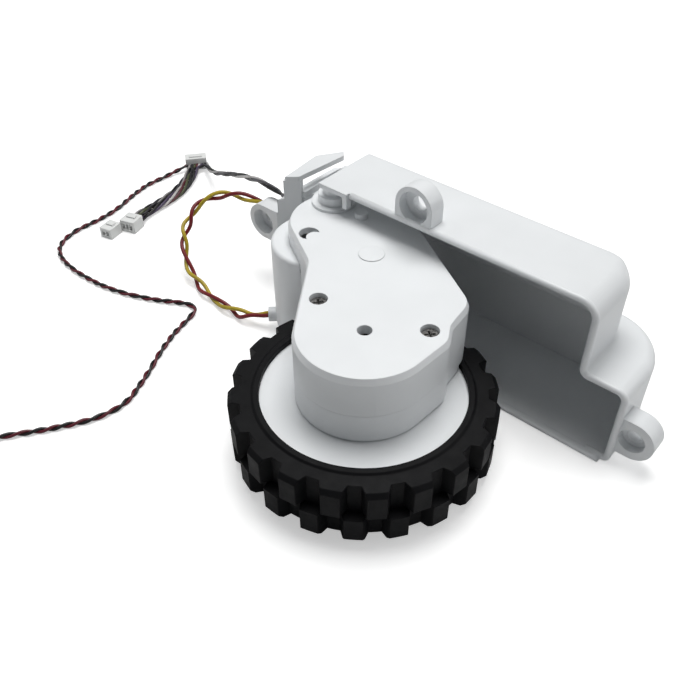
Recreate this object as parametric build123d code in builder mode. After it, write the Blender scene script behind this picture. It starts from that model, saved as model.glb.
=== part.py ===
"""Drive wheel module of a robot vacuum cleaner, lying on its outer side.

The wheel hangs on a swinging arm that is also its gearbox. The arm turns on two
moulded stubs of the wheel-well housing, and a tension spring pulls it down to
its stop. The arm is shown dropped on that stop.

Frame, in mm: the origin is on the wheel's axis at the surface that the module
lies on, +Z runs along the wheel's axis, +X along the housing's long side (the
robot's fore-and-aft line) and +Y into the well (the robot's up).
"""

import os
from math import acos, atan2, cos, degrees, hypot, pi, radians, sin, tan

from build123d import *

os.makedirs("parts", exist_ok=True)

# Wheel
tyre_radius = 35.0
tyre_width = 18.6
tread_height = 3.0
tread_blocks = 20
tread_tip = 4.6
tread_root = 7.4
tread_gap = 0.8
tread_edge = 1.1
rim_radius = 27.0
hub_disc_drop = 1.7
hub_wall = 1.6
wheel_lift = 1.5

# Swing arm
arm_reach = 59.2
arm_angle = 138.5
case_bottom = 18.9
case_parting = 27.3
case_top = 39.0
case_wall = 1.8
case_deck = 2.0
deck_gap = 1.3
wheel_end_radius = 17.7
motor_end_radius = 15.3
bevel_width = 1.7
bevel_drop = 0.7

# Gear train
pressure_angle = 25.0
tip_factor = 0.85
root_factor = 1.05
backlash = 0.07
output_lift = 3.5
output_face = 4.9
second_face = 2.8
first_face = 2.2
idler_face = 2.1
gear_gap = 0.8
idler_gap = 0.5
gear_end_play = 0.3
output_module = 0.7
middle_module = 0.6
motor_module = 0.5
output_teeth = 35
second_small_teeth = 12
second_large_teeth = 44
first_small_teeth = 13
first_large_teeth = 50
idler_small_teeth = 12
idler_large_teeth = 38
pinion_teeth = 12
running_gap = 0.04
gear_pin_radius = 1.0

# Motor
motor_radius = 12.2
motor_length = 24.0
motor_top = 29.9
motor_play = 0.3
cover_floor = 1.2
cover_wall = 1.5
cover_bottom = 2.2
cover_shoulder = 33.0
outlet_reach = 16.4
outlet_radius = 2.3
outlet_height = 4.9
outlet_turn = 84.2
shaft_radius = 1.0

# Output shaft
axle_radius = 2.5
axle_tip_radius = 2.0
bush_wall = 1.6

# Housing
tower_reach = 20.9
upper_overhang = 1.7
upper_length = 88.7
lower_overhang = 12.3
lower_depth = 30.0
lower_height = 25.4
upper_depth = 24.2
top_room = 7.8
well_wall = 1.3
floor_wall = 1.2
corner_radius = 14.0
end_radius = 5.6
back_radius = 3.6
shelf_radius = 3.2
foot_radius = 2.0
bend_radius = 2.5
tower_height = 32.8
tower_angle = 58.3

# Pivot stubs
pivot_depth = 3.6
stub_radius = 2.2
lower_stub_radius = 1.6
boss_radius = 4.6
boss_rise = 3.4
collar_radius = 3.3
collar_rise = 5.9
flange_radius = 6.6
flange_rise = 0.8
idler_boss_radius = 1.9
idler_boss_rise = 1.8

# Ears
ear_radius = 6.0
ear_hole = 2.2

# Cords
motor_lead_size = 2.4
sensor_cable_size = 2.0
pair_size = 1.6
harness_long_size = 3.2
harness_short_size = 1.8

# Axes of the arm, in the arm's own plane: x runs from the wheel to the pivot
SECOND_ANGLE = -30.6
FIRST_ANGLE = 5.6
axle_at = (0.0, 0.0)
pivot_at = (arm_reach, 0.0)


def step(start, distance, angle):
    """Point at a distance and an angle from a start."""
    return (start[0] + distance * cos(radians(angle)), start[1] + distance * sin(radians(angle)))


def line_meet(p, angle_p, q, angle_q):
    """Point where a line through p at one angle meets a line through q at another."""
    ap, aq = radians(angle_p), radians(angle_q)
    cross = cos(ap) * sin(aq) - sin(ap) * cos(aq)
    reach = ((q[0] - p[0]) * sin(aq) - (q[1] - p[1]) * cos(aq)) / cross
    return (p[0] + reach * cos(ap), p[1] + reach * sin(ap))


def tangent_angle(p, centre, radius, side):
    """Angle of the line from p that touches a circle, on its left (1) or right (-1)."""
    dx, dy = centre[0] - p[0], centre[1] - p[1]
    return degrees(atan2(dy, dx)) + side * (90 - degrees(acos(radius / hypot(dx, dy))))


def arm_plane(z):
    """Plane of the arm at a height: x to the pivot, y towards the motor's side."""
    turn = radians(arm_angle)
    return Plane(origin=(0, 0, z), x_dir=(cos(turn), sin(turn), 0), z_dir=(0, 0, 1))


def arm_point(p, z=0.0):
    """Place of a point of the arm's plane in the part's frame."""
    turn = radians(arm_angle)
    return Vector(p[0] * cos(turn) - p[1] * sin(turn), p[0] * sin(turn) + p[1] * cos(turn), z)


second_at = step(axle_at, output_module * (output_teeth + second_small_teeth) / 2, SECOND_ANGLE)
first_at = step(second_at, middle_module * (second_large_teeth + first_small_teeth) / 2, FIRST_ANGLE)
idler_at = step(first_at, middle_module * (first_large_teeth + idler_small_teeth) / 2, 0)
motor_at = step(idler_at, motor_module * (idler_large_teeth + pinion_teeth) / 2, 90)

# Levels of the train, from the output gear up to the motor pinion
output_low = case_bottom + output_lift
output_high = output_low + output_face
second_low = output_high + gear_gap
second_high = second_low + second_face
first_low = second_high + gear_gap
first_high = first_low + first_face
idler_low = first_high + idler_gap
idler_high = idler_low + idler_face
deck_underside = case_top - case_deck
well_height = case_top + top_room

# Case screws, as places in the arm's plane
screw_left = (13.8, 9.7)
screw_right = (-2.3, -15.6)
screw_far = (60.6, -12.9)
screw_recess_radius = 2.4
screw_head_radius = 2.1
screw_shank_radius = 1.0
screw_length = 11.0
screw_slot_depth = 0.9
screw_slot_width = 0.5
motor_screw_circle = 8.0
motor_screw_length = 2.0
motor_head_depth = 0.9
outlet_root = 3.0
screw_head_depth = 1.4
screw_seat = case_top - 2.6
screw_boss_radius = 2.9
far_boss_radius = 2.3
motor_head_radius = 1.7
motor_head_sink = 0.6
vent_at = (43.6, 9.0)
vent_radius = 2.9
vent_bite_at = (41.6, 7.6)
vent_bite_radius = 2.5

# Wheel levels
tyre_low = wheel_lift
tyre_high = tyre_low + tyre_width
disc_top = tyre_high - hub_disc_drop
groove_low, groove_high = tyre_low + 4.0, tyre_high - 4.0


def gear_outline(centre, module, teeth, phase):
    """Closed tooth outline: each flank runs root, pitch circle, tip along the involute."""
    pitch_r = module * teeth / 2
    base_r = pitch_r * cos(radians(pressure_angle))
    root_r = pitch_r - root_factor * module
    tip_r = pitch_r + tip_factor * module

    def involute(r):
        ratio = min(base_r / r, 1.0)
        return tan(acos(ratio)) - acos(ratio)

    half_pitch = (pi * module / 2 - backlash) / (2 * pitch_r) + involute(pitch_r)
    halves = [(r, half_pitch - involute(r)) for r in (root_r, pitch_r, tip_r)]
    points = []
    for tooth in range(teeth):
        middle = radians(phase) + 2 * pi * tooth / teeth
        for r, half in halves:
            points.append((centre[0] + r * cos(middle - half), centre[1] + r * sin(middle - half)))
        for r, half in reversed(halves):
            points.append((centre[0] + r * cos(middle + half), centre[1] + r * sin(middle + half)))
    return points


def mesh_phase(at, teeth, phase, other_at, other_teeth):
    """Phase that puts a gap of the second gear over a tooth of the first."""
    towards = degrees(atan2(other_at[1] - at[1], other_at[0] - at[0]))
    return towards + 180 + 180 / other_teeth + (towards - phase) * teeth / other_teeth


def compound_gear(centre, lower, upper, bore):
    """Two toothed wheels moulded as one, each given as module, teeth, phase, low, high."""
    with BuildPart() as gear:
        for module, teeth, phase, low, high in (lower, upper):
            with BuildSketch(arm_plane(low)):
                with BuildLine():
                    Polyline(*gear_outline(centre, module, teeth, phase), close=True)
                make_face()
            extrude(amount=high - low)
        with BuildSketch(arm_plane(lower[3])):
            with Locations(centre):
                Circle(bore)
        extrude(amount=upper[4] - lower[3], mode=Mode.SUBTRACT)
    return gear.part


def turned(centre, radius, low, high):
    """Round solid standing on a point of the arm's plane."""
    with BuildPart() as pin:
        with BuildSketch(arm_plane(low)):
            with Locations(centre):
                Circle(radius)
        extrude(amount=high - low)
    return pin.part


def save(piece, name):
    """Name a finished piece and write it out."""
    piece.label = name
    export_step(piece, "parts/" + name + ".step")
    return piece


def case_sketch(inset):
    """Outline of the gear case seen from above, or the same set in by a wall."""
    waist = (idler_at[0] - 19.3, 11.0)
    motor_end = (pivot_at[0] - 9.8, -0.85)
    wheel_line = tangent_angle(waist, axle_at, wheel_end_radius, -1)
    motor_line = tangent_angle(waist, motor_end, motor_end_radius, 1)
    far_side = (motor_end[0] + motor_end_radius, 0)
    near_side = (-wheel_end_radius, 0)
    bulge = (second_at[0] - 7.4, second_at[1] - 20.1)
    crease = (screw_right[0] + 1.1, screw_right[1] - 6.0)
    lobe = (screw_right[0] - 4.7, screw_right[1] - 4.0)
    lobe_line = tangent_angle(lobe, axle_at, wheel_end_radius, 1)
    corners = [
        (line_meet(waist, wheel_line, near_side, 90), wheel_end_radius),
        (waist, 8.0),
        (line_meet(waist, motor_line, far_side, 90), motor_end_radius),
        (line_meet(bulge, 9.7, far_side, 90), 8.0),
        (bulge, 7.0),
        (crease, 3.5),
        (lobe, 6.0),
        (line_meet(lobe, lobe_line, near_side, 90), wheel_end_radius - 0.2),
    ]
    with BuildSketch() as outline:
        with BuildLine():
            FilletPolyline(*[c[0] for c in corners], radius=[c[1] for c in corners], close=True)
        make_face()
        if inset:
            offset(amount=-inset, kind=Kind.ARC)
    return outline.sketch


# Gear case, upper shell
case_outline = case_sketch(0)
case_cavity = case_sketch(case_wall)
cover_radius = motor_radius + motor_play + cover_wall
motor_deck = motor_top + deck_gap
cup_wall = 1.4
fit_gap = 0.05

with BuildPart() as upper:
    with BuildSketch(arm_plane(case_parting)):
        add(case_outline)
    extrude(amount=case_top - case_parting)
    rim_edges = upper.faces().sort_by(Axis.Z)[-1].edges()
    chamfer(rim_edges, length=bevel_drop, length2=bevel_width, reference=upper.faces().sort_by(Axis.Z)[-1])
    with BuildSketch(arm_plane(case_parting)):
        add(case_cavity)
    extrude(amount=deck_underside - case_parting, mode=Mode.SUBTRACT)
    # The motor cover rises into the shell below the motor deck
    with BuildSketch(arm_plane(case_parting)):
        with Locations(motor_at):
            Circle(cover_radius + fit_gap)
    extrude(amount=motor_deck - case_parting, mode=Mode.SUBTRACT)
    # Bosses for the screws and the shaft's upper end
    with BuildSketch(arm_plane(case_parting)):
        with Locations(screw_left, screw_right):
            Circle(screw_boss_radius)
    extrude(amount=deck_underside - case_parting)
    with BuildSketch(arm_plane(motor_deck)):
        with Locations(screw_far):
            Circle(far_boss_radius)
    extrude(amount=deck_underside - motor_deck)
    with BuildSketch(arm_plane(first_low)):
        with Locations(axle_at):
            Circle(axle_tip_radius + bush_wall + 1.2)
    extrude(amount=deck_underside - first_low)
    # Pivot boss on its flange, the idler's small boss and the round mark over the first gear
    with BuildSketch(arm_plane(case_top)):
        with Locations(pivot_at):
            Circle(flange_radius)
    extrude(amount=flange_rise)
    with BuildSketch(arm_plane(case_top)):
        with Locations(pivot_at):
            Circle(boss_radius)
    extrude(amount=boss_rise)
    with BuildSketch(arm_plane(case_top)):
        with Locations(pivot_at):
            Circle(collar_radius)
    extrude(amount=collar_rise)
    with BuildSketch(arm_plane(case_top)):
        with Locations(idler_at):
            Circle(idler_boss_radius)
    extrude(amount=idler_boss_rise)
    with BuildSketch(arm_plane(case_top - 0.1)):
        with Locations(first_at):
            Circle(3.6)
    extrude(amount=0.3)
    # Hook post of the tension spring
    with BuildSketch(arm_plane(case_top)):
        with Locations((pivot_at[0] - 2.7, -15.5)):
            Circle(1.5)
    extrude(amount=5.0)
    # Bores: shaft, pivot, gear pins, screws, vent
    with BuildSketch(arm_plane(first_low)):
        with Locations(axle_at):
            Circle(axle_tip_radius + bush_wall)
    extrude(amount=4.6, mode=Mode.SUBTRACT)
    with BuildSketch(arm_plane(case_top - case_deck - 1)):
        with Locations(axle_at):
            Circle(1.9)
    extrude(amount=case_deck + 2, mode=Mode.SUBTRACT)
    with BuildSketch(arm_plane(case_top - 0.6)):
        with Locations(pivot_at):
            Circle(stub_radius + running_gap)
    extrude(amount=8, mode=Mode.SUBTRACT)
    with BuildSketch(arm_plane(case_parting)):
        with Locations(first_at, second_at, idler_at):
            Circle(gear_pin_radius)
    extrude(amount=deck_underside + 1.0 - case_parting, mode=Mode.SUBTRACT)
    with BuildSketch(arm_plane(screw_seat)):
        with Locations(screw_left, screw_right, screw_far):
            Circle(screw_recess_radius)
    extrude(amount=4, mode=Mode.SUBTRACT)
    with BuildSketch(arm_plane(case_parting)):
        with Locations(screw_left, screw_right, screw_far):
            Circle(screw_shank_radius + fit_gap)
    extrude(amount=screw_seat + 0.1 - case_parting, mode=Mode.SUBTRACT)
    with BuildSketch(arm_plane(deck_underside - 0.5)):
        with Locations(vent_at):
            Circle(vent_radius)
        with Locations(vent_bite_at):
            Circle(vent_bite_radius, mode=Mode.SUBTRACT)
    extrude(amount=case_deck + 1, mode=Mode.SUBTRACT)
save(upper.part, "gearcase_upper")


def relief_ring(mode):
    """Ring over the tyre, round the wheel's axis."""
    with BuildSketch(mode=Mode.PRIVATE) as ring:
        Circle(tyre_radius + 1.2)
        Circle(rim_radius - 0.8, mode=Mode.SUBTRACT)
    add(ring.sketch, mode=mode)


# Gear case, lower shell, with the cup and deck that hold the motor
shell_floor = case_bottom + case_wall
relief_top = tyre_high + 0.6
with BuildPart() as lower:
    with BuildSketch(arm_plane(case_bottom)):
        add(case_outline)
    extrude(amount=case_parting - case_bottom)
    with BuildSketch(arm_plane(shell_floor)):
        add(case_cavity)
    extrude(amount=case_parting - shell_floor, mode=Mode.SUBTRACT)
    for low, high, inset in ((shell_floor, case_parting, 0), (case_parting, motor_deck, fit_gap)):
        with BuildSketch(arm_plane(low)):
            with Locations(motor_at):
                Circle(cover_radius + cup_wall)
            with Locations(screw_far):
                Circle(far_boss_radius)
            add(case_sketch(case_wall + inset), mode=Mode.INTERSECT)
        extrude(amount=high - low)
    with BuildSketch(arm_plane(case_bottom)):
        with Locations(motor_at):
            Circle(cover_radius + fit_gap)
    extrude(amount=motor_top - case_bottom, mode=Mode.SUBTRACT)
    # Relief over the tyre, with the floor raised above it
    with BuildSketch(arm_plane(case_bottom)):
        add(case_outline)
        relief_ring(Mode.INTERSECT)
    extrude(amount=relief_top - case_bottom, mode=Mode.SUBTRACT)
    with BuildSketch(arm_plane(shell_floor - 0.2)):
        add(case_sketch(case_wall - 0.2))
        relief_ring(Mode.INTERSECT)
    extrude(amount=relief_top + 1.5 - shell_floor + 0.2)
    with BuildSketch(arm_plane(case_bottom)):
        with Locations(motor_at):
            Circle(cover_radius + fit_gap)
    extrude(amount=8, mode=Mode.SUBTRACT)
    # Bearing boss under the output gear, and posts under the case screws
    with BuildSketch(arm_plane(shell_floor)):
        with Locations(axle_at):
            Circle(axle_radius + bush_wall + 1.6)
    extrude(amount=output_low - gear_end_play - shell_floor)
    with BuildSketch(arm_plane(shell_floor)):
        with Locations(screw_left, screw_right):
            Circle(screw_boss_radius)
    extrude(amount=case_parting - shell_floor)
    with BuildSketch(arm_plane(shell_floor)):
        with Locations(first_at):
            Circle(2.6)
    extrude(amount=second_low - gear_end_play - shell_floor)
    with BuildSketch(arm_plane(case_bottom)):
        with Locations(axle_at):
            Circle(axle_radius + bush_wall)
    extrude(amount=8, mode=Mode.SUBTRACT)
    with BuildSketch(arm_plane(case_bottom + 0.8)):
        with Locations(first_at, second_at):
            Circle(gear_pin_radius)
    extrude(amount=12, mode=Mode.SUBTRACT)
    with BuildSketch(arm_plane(motor_top)):
        with Locations(idler_at):
            Circle(gear_pin_radius)
        with Locations(motor_at):
            Circle(3.2)
            with PolarLocations(8.0, 2, start_angle=0):
                Circle(screw_shank_radius + fit_gap)
    extrude(amount=3, mode=Mode.SUBTRACT)
    with BuildSketch(arm_plane(motor_deck - motor_head_sink)):
        with Locations(motor_at):
            with PolarLocations(8.0, 2, start_angle=0):
                Circle(motor_head_radius + fit_gap)
    extrude(amount=motor_head_sink, mode=Mode.SUBTRACT)
    with BuildSketch(arm_plane(shell_floor + 2.0)):
        with Locations(screw_left, screw_right, screw_far):
            Circle(screw_shank_radius)
    extrude(amount=screw_seat - shell_floor, mode=Mode.SUBTRACT)
save(lower.part, "gearcase_lower")

# Gears. Each compound gear turns on a fixed pin between the two shells.
pin_bore = gear_pin_radius + running_gap
second_phase = mesh_phase(axle_at, output_teeth, 0, second_at, second_small_teeth)
first_phase = mesh_phase(second_at, second_large_teeth, 0, first_at, first_small_teeth)
idler_phase = mesh_phase(first_at, first_large_teeth, 0, idler_at, idler_small_teeth)
pinion_phase = mesh_phase(idler_at, idler_large_teeth, 0, motor_at, pinion_teeth)

second_gear = compound_gear(
    second_at,
    (output_module, second_small_teeth, second_phase, output_low - gear_end_play, second_low),
    (middle_module, second_large_teeth, 0, second_low, second_high),
    pin_bore,
)
save(second_gear, "gear_second")
first_gear = compound_gear(
    first_at,
    (middle_module, first_small_teeth, first_phase, second_low - 0.1, first_low),
    (middle_module, first_large_teeth, 0, first_low, first_high),
    pin_bore,
)
save(first_gear, "gear_first")
idler_gear = compound_gear(
    idler_at,
    (middle_module, idler_small_teeth, idler_phase, motor_deck + 0.2, idler_low),
    (motor_module, idler_large_teeth, 0, idler_low, idler_high),
    pin_bore,
)
save(idler_gear, "gear_idler")

save(turned(second_at, gear_pin_radius, case_bottom + 0.8, deck_underside + 1.0), "gear_pin_second")
save(turned(first_at, gear_pin_radius, case_bottom + 0.8, deck_underside + 1.0), "gear_pin_first")
save(turned(idler_at, gear_pin_radius, motor_top, deck_underside + 1.0), "gear_pin_idler")

# Output gear and shaft. The shaft carries the wheel on a flat below the case.
wheel_flat = 1.6
axle_low = tyre_low + 3.0
axle_high = first_low + 4.4
axle_step = output_high + 0.4
with BuildPart() as shaft:
    with BuildSketch(arm_plane(axle_low)):
        Circle(axle_radius)
    extrude(amount=axle_step - axle_low)
    with BuildSketch(arm_plane(axle_step)):
        Circle(axle_tip_radius)
    extrude(amount=axle_high - axle_step)
    with BuildSketch(arm_plane(axle_low)):
        with Locations((axle_radius, 0)):
            Rectangle(2 * (axle_radius - wheel_flat), 2 * axle_radius)
    extrude(amount=disc_top - 1.0 - axle_low, mode=Mode.SUBTRACT)
    with BuildSketch(arm_plane(axle_low)):
        Circle(screw_shank_radius)
    extrude(amount=8.0, mode=Mode.SUBTRACT)
save(shaft.part, "output_shaft")

with BuildPart() as output_gear:
    with BuildSketch(arm_plane(output_low)):
        with BuildLine():
            Polyline(*gear_outline(axle_at, output_module, output_teeth, 0), close=True)
        make_face()
        Circle(axle_radius, mode=Mode.SUBTRACT)
    extrude(amount=output_high - output_low)
    web = (axle_radius + 2.0, output_module * output_teeth / 2 - 2.4)
    with BuildSketch(arm_plane(output_high)):
        Circle(web[1])
        Circle(web[0], mode=Mode.SUBTRACT)
    extrude(amount=-1.6, mode=Mode.SUBTRACT)
save(output_gear.part, "output_gear")


def bush(outer, bore, low, high):
    """Plain bush on the wheel's axis."""
    with BuildPart() as ring:
        with BuildSketch(arm_plane(low)):
            Circle(outer)
            Circle(bore, mode=Mode.SUBTRACT)
        extrude(amount=high - low)
    return ring.part


lower_bush = bush(axle_radius + bush_wall, axle_radius + running_gap, case_bottom, output_low - gear_end_play)
save(lower_bush, "bush_lower")
upper_bush = bush(axle_tip_radius + bush_wall, axle_tip_radius + running_gap, first_low, axle_high)
save(upper_bush, "bush_upper")

# Motor with its rotor, brush cap and solder tags
motor_low = motor_top - motor_length
cap_height = 3.2
with BuildPart() as can:
    with BuildSketch(arm_plane(motor_low + cap_height)):
        with Locations(motor_at):
            Circle(motor_radius)
    extrude(amount=motor_length - cap_height)
    with BuildSketch(arm_plane(motor_top)):
        with Locations(motor_at):
            Circle(3.1)
    extrude(amount=0.9)
    with BuildSketch(arm_plane(motor_low + cap_height)):
        with Locations(motor_at):
            Circle(motor_radius - 0.8)
    extrude(amount=motor_length - cap_height - 1.2, mode=Mode.SUBTRACT)
    with BuildSketch(arm_plane(motor_top - 1.5)):
        with Locations(motor_at):
            Circle(shaft_radius + running_gap)
            with PolarLocations(8.0, 2, start_angle=0):
                Circle(screw_shank_radius)
    extrude(amount=3.0, mode=Mode.SUBTRACT)
save(can.part, "motor_can")

with BuildPart() as end_cap:
    with BuildSketch(arm_plane(motor_low)):
        with Locations(motor_at):
            Circle(motor_radius)
    extrude(amount=cap_height)
    with BuildSketch(arm_plane(motor_low + 1.4)):
        with Locations(motor_at):
            Circle(motor_radius - 1.6)
    extrude(amount=cap_height, mode=Mode.SUBTRACT)
    with BuildSketch(arm_plane(motor_low)):
        with Locations(motor_at):
            Circle(shaft_radius + running_gap)
    extrude(amount=2, mode=Mode.SUBTRACT)
save(end_cap.part, "motor_end_cap")

# Solder tags under the brush cap
tag_offset = 5.0
with BuildPart() as tags:
    with BuildSketch(arm_plane(motor_low - 1.6)):
        with Locations(step(motor_at, tag_offset, 0), step(motor_at, tag_offset, 180)):
            Rectangle(0.5, 2.0)
    extrude(amount=1.6)
save(tags.part, "motor_terminals")

with BuildPart() as rotor:
    with BuildSketch(arm_plane(motor_low + 0.3)):
        with Locations(motor_at):
            Circle(shaft_radius)
    extrude(amount=idler_high - 0.1 - motor_low - 0.3)
    with BuildSketch(arm_plane(motor_low + cap_height + 2.0)):
        with Locations(motor_at):
            Circle(motor_radius - 2.6)
            with PolarLocations(motor_radius - 4.6, 3):
                SlotOverall(6.0, 1.4, mode=Mode.SUBTRACT)
    extrude(amount=motor_length - cap_height - 6.0)
    with BuildSketch(arm_plane(motor_low + 1.6)):
        with Locations(motor_at):
            Circle(3.2)
    extrude(amount=3.0)
save(rotor.part, "motor_rotor")

with BuildPart() as pinion:
    with BuildSketch(arm_plane(idler_low)):
        with BuildLine():
            Polyline(*gear_outline(motor_at, motor_module, pinion_teeth, pinion_phase), close=True)
        make_face()
        with Locations(motor_at):
            Circle(shaft_radius, mode=Mode.SUBTRACT)
    extrude(amount=idler_high - 0.1 - idler_low)
save(pinion.part, "motor_pinion")

# Screws: pan heads with a cross recess
def screws(places, head_low, head_radius, head_depth, shank, length, up):
    """Group of like screws in the arm's plane; up is 1 where the heads face up."""
    with BuildPart() as group:
        for place in places:
            with BuildSketch(arm_plane(head_low)):
                with Locations(place):
                    Circle(head_radius)
            extrude(amount=up * head_depth)
            with BuildSketch(arm_plane(head_low)):
                with Locations(place):
                    Circle(shank)
            extrude(amount=-up * length)
            with BuildSketch(arm_plane(head_low + up * (head_depth - screw_slot_depth))):
                with Locations(place):
                    Rectangle(1.3 * head_radius, screw_slot_width)
                    Rectangle(screw_slot_width, 1.3 * head_radius)
            extrude(amount=up * 1.0, mode=Mode.SUBTRACT)
    return group.part


case_screws = screws(
    (screw_left, screw_right, screw_far),
    screw_seat, screw_head_radius, screw_head_depth, screw_shank_radius, screw_length, 1,
)
save(case_screws, "case_screws")
motor_screw_places = (step(motor_at, motor_screw_circle, 0), step(motor_at, motor_screw_circle, 180))
motor_head_seat = motor_deck - motor_head_sink
motor_screws = screws(
    motor_screw_places, motor_head_seat, motor_head_radius, motor_head_depth,
    screw_shank_radius, motor_screw_length, 1,
)
save(motor_screws, "motor_screws")

# Lead outlet low on the cover, as a plane that looks out of it
outlet_angle = arm_angle + outlet_turn
motor_middle = arm_point(motor_at, outlet_height)
outlet_way = Vector(cos(radians(outlet_angle)), sin(radians(outlet_angle)), 0)
outlet_plane = Plane(motor_middle + outlet_way * (cover_radius - outlet_root), z_dir=outlet_way)

# Motor cover: a cup round the motor, with the shoulder that shows beside the case
with BuildPart() as cover:
    with BuildSketch(arm_plane(cover_bottom)):
        with Locations(motor_at):
            Circle(cover_radius)
    extrude(amount=cover_shoulder - cover_bottom)
    bottom_edge = cover.faces().sort_by(Axis.Z)[0].edges()
    top_edge = cover.faces().sort_by(Axis.Z)[-1].edges()
    fillet(bottom_edge, radius=1.6)
    fillet(top_edge, radius=1.2)
    with BuildSketch(outlet_plane):
        Circle(outlet_radius)
    extrude(amount=outlet_reach - cover_radius + 3.0)
    with BuildSketch(arm_plane(cover_bottom + cover_floor)):
        with Locations(motor_at):
            Circle(motor_radius + motor_play)
    extrude(amount=motor_top - cover_bottom - cover_floor, mode=Mode.SUBTRACT)
    with BuildSketch(outlet_plane):
        Circle(motor_lead_size / 2 + fit_gap)
    extrude(amount=outlet_reach, mode=Mode.SUBTRACT)
    with BuildSketch(arm_plane(cover_bottom)):
        with Locations(pivot_at):
            Circle(lower_stub_radius + 1.7)
        with Locations(motor_at):
            Circle(motor_radius + motor_play + 0.1, mode=Mode.INTERSECT)
    extrude(amount=3.1)
    with BuildSketch(arm_plane(motor_top)):
        add(case_sketch(-fit_gap))
    extrude(amount=cover_shoulder - motor_top + 1, mode=Mode.SUBTRACT)
    with BuildSketch(arm_plane(0)):
        with Locations(pivot_at):
            Circle(lower_stub_radius + running_gap)
    extrude(amount=cover_bottom + 1.7, mode=Mode.SUBTRACT)
save(cover.part, "motor_cover")

# Wheel hub: a disc on the case's side, open to the outside, with ribs to its rim
hub_boss_radius = 5.4
hub_low = tyre_low + 1.0
rim_groove = rim_radius - 1.4
rim_inside = rim_groove - hub_wall
with BuildPart() as hub:
    with BuildSketch(Plane.XZ):
        with BuildLine():
            Polyline(
                (0, disc_top), (rim_radius, disc_top), (rim_radius, groove_high),
                (rim_groove, groove_high), (rim_groove, groove_low), (rim_radius, groove_low),
                (rim_radius, hub_low), (rim_inside, hub_low), (rim_inside, disc_top - hub_wall),
                (hub_boss_radius, disc_top - hub_wall), (hub_boss_radius, axle_low - 1.2),
                (0, axle_low - 1.2), close=True,
            )
        make_face()
    revolve(axis=Axis.Z)
    with BuildSketch(Plane.XY.offset(hub_low + 1.5)):
        with PolarLocations((hub_boss_radius + rim_inside) / 2, 6):
            Rectangle(rim_inside - hub_boss_radius + 0.6, 1.4)
    extrude(until=Until.NEXT)
    with BuildSketch(arm_plane(axle_low)):
        Circle(axle_radius)
        with Locations((axle_radius, 0)):
            Rectangle(2 * (axle_radius - wheel_flat), 2 * axle_radius, mode=Mode.SUBTRACT)
    extrude(amount=disc_top - 1.0 - axle_low, mode=Mode.SUBTRACT)
    with BuildSketch(arm_plane(disc_top - 1.0)):
        Circle(axle_radius)
    extrude(amount=2, mode=Mode.SUBTRACT)
    with BuildSketch(Plane.XY.offset(axle_low - 1.2)):
        Circle(screw_shank_radius + fit_gap)
    extrude(amount=2, mode=Mode.SUBTRACT)
save(hub.part, "wheel_hub")

wheel_screw = screws((axle_at,), axle_low - 1.2, 2.3, 1.2, screw_shank_radius, 7.5, -1)
save(wheel_screw, "wheel_screw")

# Tyre: carcass with a lip beside the rim, a rib in the rim's groove and two staggered rows
carcass_radius = tyre_radius - tread_height
lip_width = 1.4
wall_drop = 0.5
tread_middle = (tyre_low + tyre_high) / 2
with BuildPart() as tyre:
    with BuildSketch(Plane.XZ):
        with BuildLine():
            Polyline(
                (rim_radius, tyre_high), (rim_radius + lip_width, tyre_high),
                (rim_radius + lip_width + 0.6, tyre_high - wall_drop),
                (carcass_radius, tyre_high - wall_drop), (carcass_radius, tyre_low + wall_drop),
                (rim_radius + lip_width + 0.6, tyre_low + wall_drop),
                (rim_radius + lip_width, tyre_low), (rim_radius, tyre_low),
                (rim_radius, groove_low), (rim_groove, groove_low),
                (rim_groove, groove_high), (rim_radius, groove_high), close=True,
            )
        make_face()
    revolve(axis=Axis.Z)
    pitch = 360 / tread_blocks
    rows = (
        (tyre_low + wall_drop, tread_middle - tread_gap / 2, 0.0),
        (tread_middle + tread_gap / 2, tyre_high - wall_drop, pitch / 2),
    )
    for low, high, turn in rows:
        with BuildSketch(Plane.XY.offset(low)):
            with PolarLocations(0, tread_blocks, start_angle=turn):
                Polygon(
                    (carcass_radius - 1.0, -tread_root / 2), (tyre_radius, -tread_tip / 2),
                    (tyre_radius, tread_tip / 2), (carcass_radius - 1.0, tread_root / 2), align=None,
                )
        extrude(amount=high - low)
    with BuildSketch(Plane.XZ):
        for level, down in ((tyre_high - wall_drop, 1), (tyre_low + wall_drop, -1)):
            with BuildLine():
                Polyline(
                    (tyre_radius + 1, level + 0.01 * down), (tyre_radius - tread_edge, level + 0.01 * down),
                    (tyre_radius + 1, level - (tread_edge + 1) * down), close=True,
                )
            make_face()
    revolve(axis=Axis.Z, mode=Mode.SUBTRACT)
save(tyre.part, "tyre")

# Housing: places tied to the pivot
pivot = arm_point(pivot_at)
well_open = pivot.Y - pivot_depth
upper_left = pivot.X - upper_overhang
upper_right = upper_left + upper_length
well_right = upper_right + lower_overhang
well_left = pivot.X - tower_reach
lower_back = well_open + lower_depth
upper_back = well_open + upper_depth
inner_right = well_right - well_wall
inner_back = lower_back - well_wall
tower_foot = (well_left, well_open + 0.4)
hook_post = arm_point((pivot_at[0] - 2.7, -15.5))
anchor = (pivot.X + 58.0, pivot.Y + 12.5)
post_radius = 1.5
tongue_length = 10.6
tongue_reach = 1.2
tongue_thickness = 1.4
tongue_rib = 1.6


def on_tower(along, out):
    """Point at a distance along the tower's slanted face and out from it."""
    turn = radians(tower_angle)
    return (tower_foot[0] + along * cos(turn) + out * sin(turn),
            tower_foot[1] + along * sin(turn) - out * cos(turn))


def tower_face(y):
    """X of the tower's slanted face at a depth."""
    return line_meet(tower_foot, tower_angle, (0, y), 0)[0]


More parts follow.
